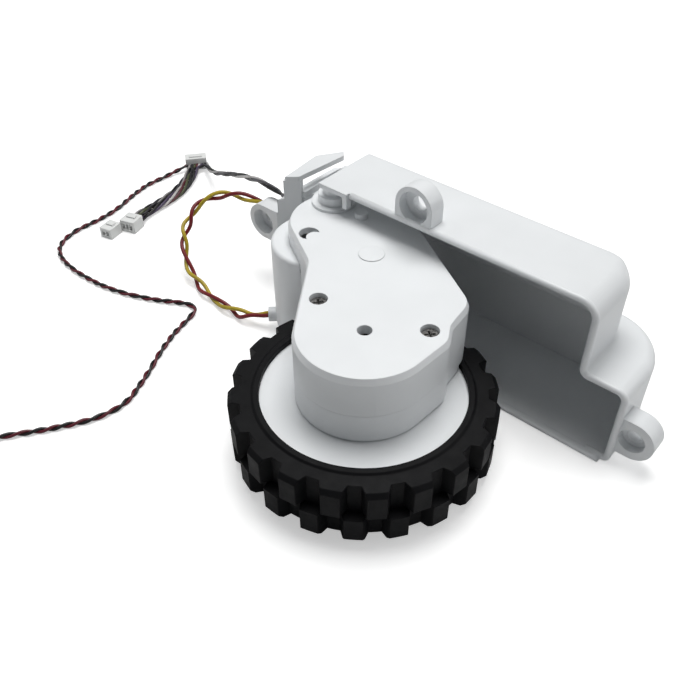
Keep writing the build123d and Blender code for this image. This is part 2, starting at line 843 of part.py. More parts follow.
def box(x0, x1, y0, y1, z0, z1, mode=Mode.ADD):
    """Block between two corners."""
    with BuildSketch(Plane.XY.offset(z0), mode=Mode.PRIVATE) as base:
        with Locations(((x0 + x1) / 2, (y0 + y1) / 2)):
            Rectangle(x1 - x0, y1 - y0)
    return extrude(base.sketch, amount=z1 - z0, mode=mode)


def slab(corners, z0, z1, mode=Mode.ADD):
    """Flat piece of any outline between two levels."""
    with BuildSketch(Plane.XY.offset(z0), mode=Mode.PRIVATE) as base:
        with BuildLine():
            Polyline(*corners, close=True)
        make_face()
    return extrude(base.sketch, amount=z1 - z0, mode=mode)


# Where the cords go into the housing's left wall
collar_reach = 1.2
lead_entry = (well_left - collar_reach, well_open + 10.4, 20.0)
cable_entry = (well_left - collar_reach, well_open + 6.2, 30.4)

# Ears: x, z, front, depth, counterbore radius and depth
ear_top = (pivot.X + 31.2, well_height + 4.2, well_open, 5.4, 4.6, 3.0)
ear_right = (well_right + 3.6, 10.3, well_open + 1.0, 6.0, 3.6, 2.5)
ear_left = (well_left - 6.8, 22.3, well_open, 6.0, 4.2, 3.5)
ears = (ear_top, ear_right, ear_left)


def open_box(x0, x1, y0, y1, z0, z1, end_round, back_round):
    """Block with the top of its right end rounded, then its back's top and right edges."""
    with BuildPart() as block:
        box(x0, x1, y0, y1, z0, z1)
        top_edges = block.faces().sort_by(Axis.Z)[-1].edges()
        fillet(top_edges.filter_by(Axis.Y).sort_by(Axis.X)[-1], radius=end_round)
        back_face = block.faces().sort_by(Axis.Y)[-1]
        fillet([e for e in back_face.edges() if e.center().Z > z0 + 0.1 and e.center().X > x0 + 0.1],
               radius=back_round)
    return block.part


# Inside of the wheel well and of the upper part, as one solid to cut out
room_start = well_open - 1
ceiling = lower_height - well_wall
joint_low = lower_height - 4.0
with BuildPart() as rooms:
    with BuildSketch(Plane.XY.offset(floor_wall)):
        with BuildLine():
            Polyline(
                (tower_face(room_start), room_start), (inner_right, room_start),
                (inner_right, inner_back), (tower_face(inner_back), inner_back), close=True,
            )
        make_face()
        corner = vertices().sort_by(Axis.X)[-2:].sort_by(Axis.Y)[-1]
        fillet(corner, radius=corner_radius - well_wall)
    extrude(amount=ceiling - floor_wall)
    right_edge = rooms.faces().sort_by(Axis.Z)[-1].edges().filter_by(Axis.Y).sort_by(Axis.X)[-1]
    fillet(right_edge, radius=shelf_radius - well_wall)
    add(open_box(upper_left - 0.1, upper_right - well_wall, room_start, upper_back - well_wall,
                 joint_low, well_height - well_wall, end_radius - well_wall, back_radius - well_wall))
    bend = rooms.edges().filter_by(Axis.Y).filter_by_position(Axis.Z, ceiling - 0.1, ceiling + 0.1)
    bend = [e for e in bend if abs(e.center().X - upper_right + well_wall) < 0.1]
    fillet(bend, radius=bend_radius)

with BuildPart() as well:
    # Lower part, round the wheel
    box(well_left, well_right, well_open, lower_back, 0, lower_height)
    back_edges = well.edges().filter_by(Axis.Z).group_by(Axis.Y)[-1].sort_by(Axis.X)
    fillet(back_edges[-1], radius=corner_radius)
    left_corner = well.edges().filter_by(Axis.Z).group_by(Axis.Y)[-1].sort_by(Axis.X)[0]
    fillet(left_corner, radius=3.0)
    shelf_edges = well.faces().sort_by(Axis.Z)[-1].edges().sort_by(Axis.X)
    fillet([e for e in shelf_edges if e.center().X > upper_right + 1], radius=shelf_radius)
    foot_edge = well.faces().sort_by(Axis.Z)[0].edges().filter_by(Axis.Y).sort_by(Axis.X)[-1]
    fillet(foot_edge, radius=foot_radius)
    # Upper part, over the gear case
    add(open_box(upper_left, upper_right, well_open, upper_back, joint_low, well_height, end_radius, back_radius))
    step_edge = well.edges().filter_by(Axis.Y).filter_by_position(Axis.Z, lower_height - 0.1, lower_height + 0.1)
    fillet([e for e in step_edge if abs(e.center().X - upper_right) < 0.1], radius=bend_radius - well_wall)
    # Tower with its slanted face, beside the arm's motor end
    slab(
        (tower_foot, (tower_face(lower_back), lower_back), (well_left + 3.0, lower_back),
         (well_left, lower_back - 3.0)),
        lower_height - 0.5, tower_height,
    )
    for x, z, front, depth, sink, sink_depth in ears:
        with BuildSketch(Plane.XZ.offset(-front)):
            with Locations((x, z)):
                Circle(ear_radius)
        extrude(amount=-depth)
    top_x, top_z, top_front, top_depth = ear_top[:4]
    box(top_x - ear_radius, top_x + ear_radius, top_front, top_front + top_depth, well_height - 1, top_z)
    right_x, right_z, right_front, right_depth = ear_right[:4]
    box(well_right - 1, right_x, right_front, right_front + right_depth,
        right_z - ear_radius, right_z + ear_radius)
    left_x, left_z, left_front, left_depth = ear_left[:4]
    box(left_x, well_left + 1, left_front, left_front + left_depth,
        left_z - ear_radius, left_z + ear_radius)
    # Wheel well and the room over it
    add(rooms.part, mode=Mode.SUBTRACT)
    # Open top over the arm's motor end
    slab(
        ((tower_face(well_open - 1), well_open - 1), (upper_left, well_open - 1),
         (upper_left, inner_back), (tower_face(inner_back), inner_back)),
        lower_height - 10, tower_height + 1, Mode.SUBTRACT,
    )
    # Tower cored out from below
    core_front = tower_foot[1] + 8.0
    core_back = lower_back - 3.2
    slab(
        ((well_left + well_wall, core_front - 3.4), (tower_face(core_front) - 2.0, core_front),
         (tower_face(core_back) - 2.0, core_back), (well_left + well_wall, core_back)),
        -0.1, tower_height - well_wall, Mode.SUBTRACT,
    )
    for x, z, front, depth, sink, sink_depth in ears:
        with BuildSketch(Plane.XZ.offset(-front)):
            with Locations((x, z)):
                Circle(sink)
        extrude(amount=-sink_depth, mode=Mode.SUBTRACT)
        with BuildSketch(Plane.XZ.offset(-front)):
            with Locations((x, z)):
                Circle(ear_hole)
        extrude(amount=-depth - 1, mode=Mode.SUBTRACT)
    # Tongue and stubs of the pivot
    tongue_end = upper_left + tongue_length
    box(upper_left, tongue_end, well_open - tongue_reach, well_open + 1,
        well_height - tongue_thickness, well_height)
    box(tongue_end - tongue_rib, tongue_end, well_open - tongue_reach, well_open + 1,
        case_top + 3.0, well_height - 0.1)
    with BuildSketch(Plane.XY.offset(case_top + 1.0)):
        with Locations((pivot.X, pivot.Y)):
            Circle(stub_radius)
    extrude(amount=well_height - 0.4 - case_top - 1.0)
    with BuildSketch(Plane.XY.offset(floor_wall - 0.2)):
        with Locations((pivot.X, pivot.Y)):
            Circle(lower_stub_radius)
    extrude(amount=cover_bottom + 1.3 - floor_wall + 0.2)
    # Anchor post of the spring, under the side plate
    with BuildSketch(Plane.XY.offset(well_height - well_wall - 5.0)):
        with Locations(anchor):
            Circle(post_radius)
    extrude(amount=5.2)
    # Collars on the left wall where the two cords go in
    for place, size in ((lead_entry, motor_lead_size), (cable_entry, sensor_cable_size)):
        with BuildSketch(Plane.YZ.offset(place[0])):
            with Locations(place[1:]):
                Circle(size / 2 + 1.0)
        extrude(amount=collar_reach + 0.3)
        with BuildSketch(Plane.YZ.offset(place[0])):
            with Locations(place[1:]):
                Circle(size / 2 + fit_gap)
        extrude(amount=collar_reach + well_wall + 0.3, mode=Mode.SUBTRACT)
    # Drop stop, from the tower to the motor cover
    stop_at = 6.4
    stop_reach = 10.05
    slab(
        (on_tower(stop_at - 1.2, -0.5), on_tower(stop_at - 1.2, stop_reach),
         on_tower(stop_at + 1.2, stop_reach), on_tower(stop_at + 1.2, -0.5)),
        floor_wall - 0.2, 9.6,
    )
    # Finger over the tower on its leg, and the tower's rib
    slab(
        (on_tower(2.3, -0.2), on_tower(7.6, 1.3), on_tower(8.6, -0.4), on_tower(3.2, -1.8)),
        tower_height - 6.0, tower_height + 6.2,
    )
    finger_low = tower_height + 6.0
    slab(
        ((well_left + 1.5, well_open + 2.9), (well_left + 4.7, well_open + 5.6),
         (well_left + 6.5, well_open + 24.7), (well_left + 4.7, well_open + 26.8),
         (well_left - 0.3, well_open + 19.0)),
        finger_low, finger_low + 1.6,
    )
    box(well_left + 4.2, well_left + 5.7, well_open + 7.0, well_open + 28.0, tower_height - 0.2,
        tower_height + 2.0)
save(well.part, "wheel_housing")

# Tension spring between the arm's post and the housing's post
spring_height = case_top + 2.6
wire_radius = 0.3
coil_radius = 1.8
eye_radius = post_radius + wire_radius + 0.05
spring_way = Vector(anchor[0] - hook_post.X, anchor[1] - hook_post.Y, 0)
spring_span = spring_way.length
coil_length = spring_span - 2 * (eye_radius + 1.6)
coil_pitch = 2.4
wire_sides = 6
coil_start = (spring_span - coil_length) / 2
with BuildPart() as spring:
    coil_foot = Vector(hook_post.X, hook_post.Y, spring_height) + spring_way.normalized() * coil_start
    with BuildLine():
        turns = Helix(coil_pitch, coil_length, coil_radius, center=coil_foot, direction=spring_way)
    with BuildSketch(Plane(turns @ 0, z_dir=turns % 0)):
        RegularPolygon(wire_radius, wire_sides)
    sweep(path=turns, is_frenet=True)
    for place in (hook_post, Vector(*anchor)):
        with BuildSketch(Plane.XZ.offset(-place.Y)):
            with Locations((place.X + eye_radius, spring_height)):
                RegularPolygon(wire_radius, wire_sides)
        revolve(axis=Axis((place.X, place.Y, 0), (0, 0, 1)))
    way = spring_way.normalized()
    for end, place in ((1, hook_post), (-1, Vector(*anchor))):
        first = Vector(place.X, place.Y, spring_height) + way * (end * eye_radius)
        last = (turns @ 0) if end == 1 else (turns @ 1)
        with BuildSketch(Plane(first, z_dir=last - first)):
            RegularPolygon(wire_radius, wire_sides)
        extrude(amount=(last - first).length)
save(spring.part, "tension_spring")

# Wheel-drop switch on the tower's face, above the drop stop
switch_length = 12.8
switch_depth = 6.5
switch_low = 10.2
switch_height = 5.8
switch_from = 3.4
lever_hinge = (switch_from + switch_length - 1.6, switch_depth + 0.5)
lever_tip = (3.6, 9.7)
with BuildPart() as switch:
    slab(
        (on_tower(switch_from, 0), on_tower(switch_from + switch_length, 0),
         on_tower(switch_from + switch_length, switch_depth), on_tower(switch_from, switch_depth)),
        switch_low, switch_low + switch_height,
    )
    slab(
        (on_tower(8.4, switch_depth - 0.2), on_tower(9.6, switch_depth - 0.2),
         on_tower(9.6, switch_depth + 0.5), on_tower(8.4, switch_depth + 0.5)),
        switch_low + 1.9, switch_low + 3.9,
    )
save(switch.part, "switch_body")
lever_width = 4.0
lever_thickness = 0.3
lever_barrel = 0.45
with BuildPart() as lever:
    slab(
        (on_tower(*lever_hinge), on_tower(*lever_tip),
         on_tower(lever_tip[0], lever_tip[1] + lever_thickness),
         on_tower(lever_hinge[0], lever_hinge[1] + lever_thickness)),
        switch_low + 0.9, switch_low + 0.9 + lever_width,
    )
    with BuildSketch(Plane.XY.offset(switch_low + 0.9)):
        with Locations(on_tower(*lever_hinge)):
            Circle(lever_barrel)
    extrude(amount=lever_width)
save(lever.part, "switch_lever")


# Cords: each runs along straight pieces joined by arcs
def cord(points, size, name):
    """Round cord along a route, with the widest arc that each corner allows."""
    stops = [Vector(*p) for p in points]
    radii = []
    for before, here, after in zip(stops, stops[1:], stops[2:]):
        turn = (here - before).get_angle(after - here)
        shorter = min((here - before).length, (after - here).length)
        radii.append(0.45 * shorter / tan(radians(turn) / 2))
    with BuildPart() as tube:
        with BuildLine() as path:
            FilletPolyline(*stops, radius=radii)
        with BuildSketch(Plane(path.line @ 0, z_dir=path.line % 0)):
            Circle(size / 2)
        sweep(path=path.line)
    length = sum(piece.length for piece in path.line.edges())
    share = tube.part.volume / (pi * size * size / 4 * length)
    print(name, "length", round(length, 1), "least radius", round(min(radii), 1), "volume", round(share, 3))
    save(tube.part, name)


def plug(centre, way, width, length, low, high, name, slots):
    """Connector housing with slots in its mating face; way points away from its wires."""
    turn = degrees(atan2(way[1], way[0]))
    plane = Plane(origin=(*centre, low), x_dir=(cos(radians(turn)), sin(radians(turn)), 0))
    with BuildPart() as block:
        with BuildSketch(plane):
            RectangleRounded(length, width, 0.3)
        extrude(amount=high - low)
        with BuildSketch(plane.offset(1.2)):
            with Locations((length / 2, 0)):
                with GridLocations(1, (width - 1.4) / slots, 1, slots):
                    Rectangle(3.0, (width - 1.4) / slots - 0.5)
        extrude(amount=high - low - 2.4, mode=Mode.SUBTRACT)
        with BuildSketch(plane.offset(high - low)):
            with Locations((-0.1 * length, 0)):
                Rectangle(0.3 * length, 0.6 * width)
        extrude(amount=0.5)
    save(block.part, name)


lead_start = outlet_plane.origin + outlet_way * (outlet_reach - cover_radius + 3.0)
motor_lead_route = (
    (lead_start.X, lead_start.Y, lead_start.Z), (-59.4, 13.9, 2.7), (-68.8, 13.4, 1.8), (-79.6, 14.6, 1.8),
    (-88.0, 16.6, 2.6), (-94.3, 18.9, 6.0), (-98.3, 22.6, 11.2), (-100.3, 27.4, 16.4),
    (-99.6, 33.2, 20.4), (-95.0, 37.6, 22.6), (-88.2, 39.9, 23.8), (-79.8, 43.4, 23.2),
    (-73.0, 45.3, 21.6), lead_entry,
)
cord(motor_lead_route, motor_lead_size, "motor_lead")

main_centre = (-148.2, 70.5)
main_way = (-0.787, 0.617)
plug(main_centre, main_way, 8.5, 4.5, 0.1, 5.0, "main_connector", 5)


def on_main(along):
    """Start of a wire on the main connector's wire face."""
    return (main_centre[0] - 2.25 * main_way[0] + along * main_way[1],
            main_centre[1] - 2.25 * main_way[1] - along * main_way[0], 2.5)


sensor_cable_route = (
    cable_entry, (-73.0, 41.5, 31.7), (-80.5, 44.0, 30.2), (-90.0, 47.8, 26.3), (-101.0, 52.2, 21.4),
    (-113.0, 57.1, 15.5), (-124.5, 61.9, 9.5), (-134.6, 66.6, 4.6), on_main(3.45),
)
cord(sensor_cable_route, sensor_cable_size, "sensor_cable")

harness_long_route = (
    on_main(0.75), (-142.3, 63.9, 2.1), (-138.8, 58.0, 1.8), (-135.6, 50.9, 1.7), (-134.3, 43.0, 1.7),
    (-133.9, 35.1, 1.9), (-132.4, 27.35, 2.3),
)
cord(harness_long_route, harness_long_size, "harness_long")
plug((-131.5, 24.5), (0.308, -0.951), 6.0, 6.0, 0.1, 4.6, "connector_b", 3)

harness_short_route = (
    on_main(-1.9), (-145.0, 62.5, 1.3), (-141.9, 57.0, 1.0), (-139.2, 50.0, 1.0), (-137.8, 42.5, 1.0),
    (-137.2, 33.6, 1.0), (-136.5, 26.6, 1.2), (-134.9, 19.9, 1.9),
)
cord(harness_short_route, harness_short_size, "harness_short")
plug((-134.2, 16.98), (0.23, -0.973), 5.0, 6.0, 0.1, 4.0, "connector_a", 2)

pair_route = (
    on_main(-3.7), (-150.3, 60.0, 1.2), (-151.0, 53.0, 0.9), (-151.2, 46.0, 0.9), (-148.6, 36.5, 0.9),
    (-145.2, 27.0, 0.9), (-144.7, 17.0, 0.9), (-145.3, 8.0, 0.9), (-141.5, -1.0, 0.9), (-133.0, -5.2, 0.9),
    (-120.0, -6.0, 0.9), (-106.0, -4.4, 0.9), (-93.0, 0.4, 0.9), (-86.0, 4.4, 0.9), (-80.5, 7.6, 0.9),
    (-76.3, 7.4, 0.9), (-75.0, 3.2, 0.9), (-73.0, -4.5, 0.9), (-69.9, -12.3, 0.9), (-65.7, -19.9, 0.9),
    (-62.1, -27.4, 0.9), (-59.3, -34.1, 0.9), (-60.5, -42.6, 0.9), (-66.9, -53.3, 0.9),
    (-75.3, -64.4, 0.9), (-80.6, -72.8, 1.6),
)
cord(pair_route, pair_size, "pair_lead")
plug((-82.2, -75.34), (-0.534, -0.846), 5.0, 6.0, 0.1, 4.0, "pair_connector", 2)
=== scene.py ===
"""Drive wheel module of a robot vacuum cleaner, dressed for a plain studio.

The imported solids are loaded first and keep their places. This file gives every solid its
finish, lays the wires along their routes, winds the tension spring, rounds the housing's back
corners, rolls its rim, and adds the stage: floor, lamps and camera.
Lengths are in metres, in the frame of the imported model. Routes and the other named places and
sizes of the pieces are in millimetres, and are multiplied by MM where they are used.
"""

from collections import namedtuple
from math import pi, radians

import bmesh
import bpy
import numpy as np
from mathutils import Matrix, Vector


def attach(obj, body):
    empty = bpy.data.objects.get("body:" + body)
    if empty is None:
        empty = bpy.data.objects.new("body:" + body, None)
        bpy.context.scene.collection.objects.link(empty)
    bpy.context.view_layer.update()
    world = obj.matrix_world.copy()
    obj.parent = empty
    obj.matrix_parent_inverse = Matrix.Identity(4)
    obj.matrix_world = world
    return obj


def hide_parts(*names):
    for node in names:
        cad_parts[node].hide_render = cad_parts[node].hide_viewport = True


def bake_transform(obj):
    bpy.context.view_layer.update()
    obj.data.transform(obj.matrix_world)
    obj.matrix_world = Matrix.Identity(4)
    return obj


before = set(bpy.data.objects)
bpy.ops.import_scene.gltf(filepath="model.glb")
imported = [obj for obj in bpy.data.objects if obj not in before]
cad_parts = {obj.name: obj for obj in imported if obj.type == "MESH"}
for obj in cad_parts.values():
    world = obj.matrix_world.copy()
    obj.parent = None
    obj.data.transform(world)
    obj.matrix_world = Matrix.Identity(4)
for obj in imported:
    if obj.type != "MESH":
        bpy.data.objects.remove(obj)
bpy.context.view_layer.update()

bl_info = {
    "name": "Robot vacuum wheel module",
    "version": (1, 0, 0),
    "blender": (4, 5, 0),
    "location": "View3D > Sidebar > Wheel Module",
    "description": "Dresses the drive wheel module with its finishes, wires and stage",
    "category": "Object",
}

MM = 0.001
UP = np.array((0, 0, 1.0))


def linear(r, g, b):
    """Linear colour of an sRGB colour given in 0 to 255: the standard sRGB curve."""
    share = np.array((r, g, b)) / 255.0
    out = np.where(share <= 0.04045, share / 12.92, ((share + 0.055) / 1.055) ** 2.4)
    return tuple(float(v) for v in out)


def tinted(color, share):
    """A colour made darker or lighter by a share."""
    return tuple(min(1.0, c * share) for c in color)


def fade_in(values, start, end):
    """0 before start, 1 after end, and 3 t^2 - 2 t^3 between them."""
    share = np.clip((values - start) / (end - start), 0, 1)
    return share * share * (3 - 2 * share)


# Settings


class WheelStageSettings(bpy.types.PropertyGroup):
    """Floor, lamps and camera."""

    floor_color: bpy.props.FloatVectorProperty(
        name="Floor", description="Colour of the floor", subtype="COLOR", size=3, min=0, max=1,
        default=(0.84, 0.84, 0.84),
    )
    floor_lift: bpy.props.FloatProperty(
        name="Floor lift", description="Extra white that only the camera sees on the floor",
        default=0.45, min=0, max=1,
    )
    key_power: bpy.props.FloatProperty(
        name="Key lamp", description="Power of the large lamp overhead", default=3.6, min=0,
        subtype="POWER", unit="POWER",
    )
    side_power: bpy.props.FloatProperty(
        name="Left lamp", description="Power of the soft lamp on the left", default=0.5, min=0,
        subtype="POWER", unit="POWER",
    )
    end_power: bpy.props.FloatProperty(
        name="Right lamp", description="Power of the soft lamp beyond the housing's right end",
        default=0.8, min=0, subtype="POWER", unit="POWER",
    )
    sky_strength: bpy.props.FloatProperty(
        name="Sky", description="Strength of the light from all round", default=0.155, min=0, max=2,
    )
    lens: bpy.props.FloatProperty(
        name="Lens", description="Focal length of the camera, in mm on a 36 mm frame", default=40.77,
        min=10, max=200,
    )


class WheelFinishSettings(bpy.types.PropertyGroup):
    """Colours of the moulded and metal pieces."""

    plastic_color: bpy.props.FloatVectorProperty(
        name="White plastic", description="Colour of the housing, case, cover and hub",
        subtype="COLOR", size=3, min=0, max=1, default=(0.84, 0.86, 0.875),
    )
    rubber_color: bpy.props.FloatVectorProperty(
        name="Tyre rubber", description="Colour of the tyre", subtype="COLOR", size=3, min=0, max=1,
        default=(0.0034, 0.0035, 0.0042),
    )
    gear_color: bpy.props.FloatVectorProperty(
        name="Gear plastic", description="Colour of the gears", subtype="COLOR", size=3, min=0, max=1,
        default=(0.72, 0.69, 0.58),
    )
    steel_color: bpy.props.FloatVectorProperty(
        name="Steel", description="Colour of the gears' pins", subtype="COLOR", size=3, min=0, max=1,
        default=(0.56, 0.56, 0.57),
    )
    plastic_roughness: bpy.props.FloatProperty(
        name="Plastic roughness", description="Roughness of the white plastic", default=0.36, min=0,
        max=1, subtype="FACTOR",
    )
    rubber_roughness: bpy.props.FloatProperty(
        name="Rubber roughness", description="Roughness of the tyre", default=0.56, min=0, max=1,
        subtype="FACTOR",
    )


class WheelWireSettings(bpy.types.PropertyGroup):
    """Sizes and colours of the wires."""

    lead_wire: bpy.props.FloatProperty(
        name="Motor lead wire", description="Diameter of each wire of the motor lead",
        default=1.3 * MM, min=0.0005, max=0.003, unit="LENGTH", subtype="DISTANCE",
    )
    lead_pitch: bpy.props.FloatProperty(
        name="Motor lead twist", description="Length of one turn of the motor lead", default=19 * MM,
        min=0.003, max=0.05, unit="LENGTH", subtype="DISTANCE",
    )
    pair_wire: bpy.props.FloatProperty(
        name="Thin wire", description="Diameter of each wire of the long thin pair",
        default=0.88 * MM, min=0.0003, max=0.002, unit="LENGTH", subtype="DISTANCE",
    )
    pair_pitch: bpy.props.FloatProperty(
        name="Thin pair twist", description="Length of one turn of the long thin pair",
        default=8.2 * MM, min=0.002, max=0.05, unit="LENGTH", subtype="DISTANCE",
    )
    spring_wire: bpy.props.FloatProperty(
        name="Spring wire", description="Diameter of the tension spring's wire",
        default=0.6 * MM, min=0.0003, max=0.002, unit="LENGTH", subtype="DISTANCE",
    )
    spring_pitch: bpy.props.FloatProperty(
        name="Spring pitch", description="Distance from one coil of the spring to the next",
        default=0.95 * MM, min=0.0005, max=0.005, unit="LENGTH", subtype="DISTANCE",
    )
    red: bpy.props.FloatVectorProperty(
        name="Red", description="Colour of the red wire", subtype="COLOR", size=3, min=0, max=1,
        default=linear(122, 20, 28),
    )
    yellow: bpy.props.FloatVectorProperty(
        name="Yellow", description="Colour of the yellow wire", subtype="COLOR", size=3, min=0, max=1,
        default=linear(182, 160, 38),
    )


# Finishes

# Part of a noise's range that a colour or a roughness goes over
NOISE_LOW = 0.3
NOISE_HIGH = 0.7
# Waves of each noise per metre
PLASTIC_CLOUDS = 38.0
PLASTIC_PATCHES = 150.0
PLASTIC_GRAIN = 2600.0
RUBBER_BLOOM = 55.0
RUBBER_PATCHES = 260.0
RUBBER_SKIN = 1900.0
METAL_MARKS = 900.0
VINYL_SMUDGES = 240.0
# Depth of each finish's relief, in mm
PLASTIC_RELIEF = 0.02
RUBBER_RELIEF = 0.04
METAL_RELIEF = 0.01
VINYL_RELIEF = 0.02
# Radius that edges are shaded with, in mm, and the samples for it
PLASTIC_EDGE = 0.35
RUBBER_EDGE = 0.4
EDGE_SAMPLES = 4
# Strength of mirroring
PLASTIC_GLOSS = 0.5
RUBBER_GLOSS = 0.12


def new_material(name):
    """Node material with its nodes, links, shader and the piece's own coordinates."""
    material = bpy.data.materials.new(name)
    material.use_nodes = True
    nodes, links = material.node_tree.nodes, material.node_tree.links
    place = nodes.new("ShaderNodeTexCoord")
    return material, nodes, links, nodes["Principled BSDF"], place.outputs["Object"]


def noise(nodes, links, place, scale, detail, roughness=0.55):
    """Noise on a piece's coordinates."""
    texture = nodes.new("ShaderNodeTexNoise")
    texture.inputs["Scale"].default_value = scale
    texture.inputs["Detail"].default_value = detail
    texture.inputs["Roughness"].default_value = roughness
    links.new(place, texture.inputs["Vector"])
    return texture.outputs["Fac"]


def color_over(nodes, links, source, shader, low, high, start=NOISE_LOW, end=NOISE_HIGH):
    """Base colour that goes from low to high while a noise goes from start to end."""
    band = nodes.new("ShaderNodeValToRGB")
    band.color_ramp.elements[0].position = start
    band.color_ramp.elements[1].position = end
    band.color_ramp.elements[0].color = (*low, 1)
    band.color_ramp.elements[1].color = (*high, 1)
    links.new(source, band.inputs["Fac"])
    links.new(band.outputs["Color"], shader.inputs["Base Color"])


def roughness_over(nodes, links, source, shader, low, high):
    """Roughness that goes from low to high over a noise's range."""
    scale = nodes.new("ShaderNodeMapRange")
    scale.inputs["From Min"].default_value = NOISE_LOW
    scale.inputs["From Max"].default_value = NOISE_HIGH
    scale.inputs["To Min"].default_value = low
    scale.inputs["To Max"].default_value = high
    links.new(source, scale.inputs["Value"])
    links.new(scale.outputs["Result"], shader.inputs["Roughness"])


def bump(nodes, links, source, shader, strength, depth, edge=0.0):
    """Small relief from a noise, on edges that are shaded round. depth and edge are in mm."""
    relief = nodes.new("ShaderNodeBump")
    relief.inputs["Strength"].default_value = strength
    relief.inputs["Distance"].default_value = depth * MM
    links.new(source, relief.inputs["Height"])
    links.new(relief.outputs["Normal"], shader.inputs["Normal"])
    if edge:
        rounding = nodes.new("ShaderNodeBevel")
        rounding.samples = EDGE_SAMPLES
        rounding.inputs["Radius"].default_value = edge * MM
        links.new(rounding.outputs["Normal"], relief.inputs["Normal"])


def moulded(name, color, roughness, variation=0.03):
    """Injection-moulded plastic: fine spark-eroded grain, faint flow clouds and uneven gloss."""
    material, nodes, links, shader, place = new_material(name)
    clouds = noise(nodes, links, place, PLASTIC_CLOUDS, detail=4.0)
    low, high = tinted(color, 1 - variation), tinted(color, 1 + variation * 0.5)
    color_over(nodes, links, clouds, shader, low, high)
    patches = noise(nodes, links, place, PLASTIC_PATCHES, detail=3.0)
    roughness_over(nodes, links, patches, shader, roughness - 0.04, roughness + 0.05)
    grain = noise(nodes, links, place, PLASTIC_GRAIN, detail=2.0)
    bump(nodes, links, grain, shader, strength=0.35, depth=PLASTIC_RELIEF, edge=PLASTIC_EDGE)
    shader.inputs["Specular IOR Level"].default_value = PLASTIC_GLOSS
    return material


def rubber(name, color, roughness):
    """Tyre rubber: dull, with a fine skin, dusty bloom in patches and a faint sheen."""
    material, nodes, links, shader, place = new_material(name)
    bloom = noise(nodes, links, place, RUBBER_BLOOM, detail=6.0, roughness=0.65)
    low, high = tinted(color, 0.8), tinted(color, 1.5)
    color_over(nodes, links, bloom, shader, low, high, start=0.35, end=0.75)
    patches = noise(nodes, links, place, RUBBER_PATCHES, detail=4.0)
    roughness_over(nodes, links, patches, shader, roughness - 0.06, roughness + 0.08)
    skin = noise(nodes, links, place, RUBBER_SKIN, detail=3.0)
    bump(nodes, links, skin, shader, strength=0.5, depth=RUBBER_RELIEF, edge=RUBBER_EDGE)
    shader.inputs["Specular IOR Level"].default_value = RUBBER_GLOSS
    return material


def metal(name, color, roughness, stretch=(1, 1, 1), scale=METAL_MARKS):
    """Metal with fine drawn or turned marks: noise stretched along one direction."""
    material, nodes, links, shader, place = new_material(name)
    mapping = nodes.new("ShaderNodeMapping")
    mapping.inputs["Scale"].default_value = stretch
    links.new(place, mapping.inputs["Vector"])
    marks = noise(nodes, links, mapping.outputs["Vector"], scale, detail=4.0, roughness=0.5)
    color_over(nodes, links, marks, shader, tinted(color, 0.86), tinted(color, 1.08))
    roughness_over(nodes, links, marks, shader, roughness - 0.05, roughness + 0.09)
    bump(nodes, links, marks, shader, strength=0.25, depth=METAL_RELIEF)
    shader.inputs["Metallic"].default_value = 1.0
    return material


def insulation(name, color):
    """Wire insulation: smooth soft vinyl with slight smudges."""
    material, nodes, links, shader, place = new_material(name)
    smudges = noise(nodes, links, place, VINYL_SMUDGES, detail=3.0)
    color_over(nodes, links, smudges, shader, tinted(color, 0.8), tinted(color, 1.12))
    roughness_over(nodes, links, smudges, shader, low=0.36, high=0.5)
    bump(nodes, links, smudges, shader, strength=0.2, depth=VINYL_RELIEF)
    return material


def paint(material, *names):
    """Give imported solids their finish."""
    for name in names:
        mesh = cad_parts[name].data
        mesh.materials.clear()
        mesh.materials.append(material)


# The housing's colour as a share of the other white pieces': painted shade, a darker copy of the same white
# plastic that darkens the whole housing so that its shaded interior reads darker
HOUSING_PAINTED_SHADE = 0.94
PLUG_COLOR = (0.81, 0.82, 0.81)
DARK_COLOR = (0.03, 0.03, 0.032)
CORD_COLOR = (0.10, 0.10, 0.11)
WHITE_NODES = ("gearcase_upper", "gearcase_lower", "motor_cover", "wheel_hub")
GEAR_NODES = ("output_gear", "gear_second", "gear_first", "gear_idler")
PIN_NODES = ("gear_pin_second", "gear_pin_first", "gear_pin_idler")
BRONZE_NODES = ("bush_lower", "bush_upper", "motor_pinion")
SCREW_NODES = ("case_screws", "motor_screws", "wheel_screw")
DARK_NODES = ("motor_end_cap", "switch_body")
PLUG_NODES = ("main_connector", "connector_a", "connector_b", "pair_connector")
CORD_NODES = ("motor_lead", "sensor_cable", "harness_long", "harness_short", "pair_lead")
# Name, colour, roughness, stretch of the marks along each axis, their scale, and the solids
METALS = (
    ("blackened_steel", (0.05, 0.05, 0.055), 0.4, (1, 1, 6), METAL_MARKS, ("output_shaft",)),
    ("plated_can", (0.60, 0.60, 0.61), 0.24, (1, 1, 0.2), 500, ("motor_can",)),
    ("rotor_steel", (0.34, 0.33, 0.33), 0.4, (1, 1, 9), 700, ("motor_rotor",)),
    ("sintered_bronze", (0.46, 0.30, 0.15), 0.42, (1, 1, 1), 2400, BRONZE_NODES),
    ("tinned_tag", (0.62, 0.55, 0.42), 0.3, (1, 1, 1), METAL_MARKS, ("motor_terminals",)),
    ("lever_strip", (0.60, 0.60, 0.60), 0.3, (1, 1, 0.2), METAL_MARKS, ("switch_lever",)),
    ("plated_screw", (0.30, 0.29, 0.28), 0.26, (1, 1, 1), 1600, SCREW_NODES),
)


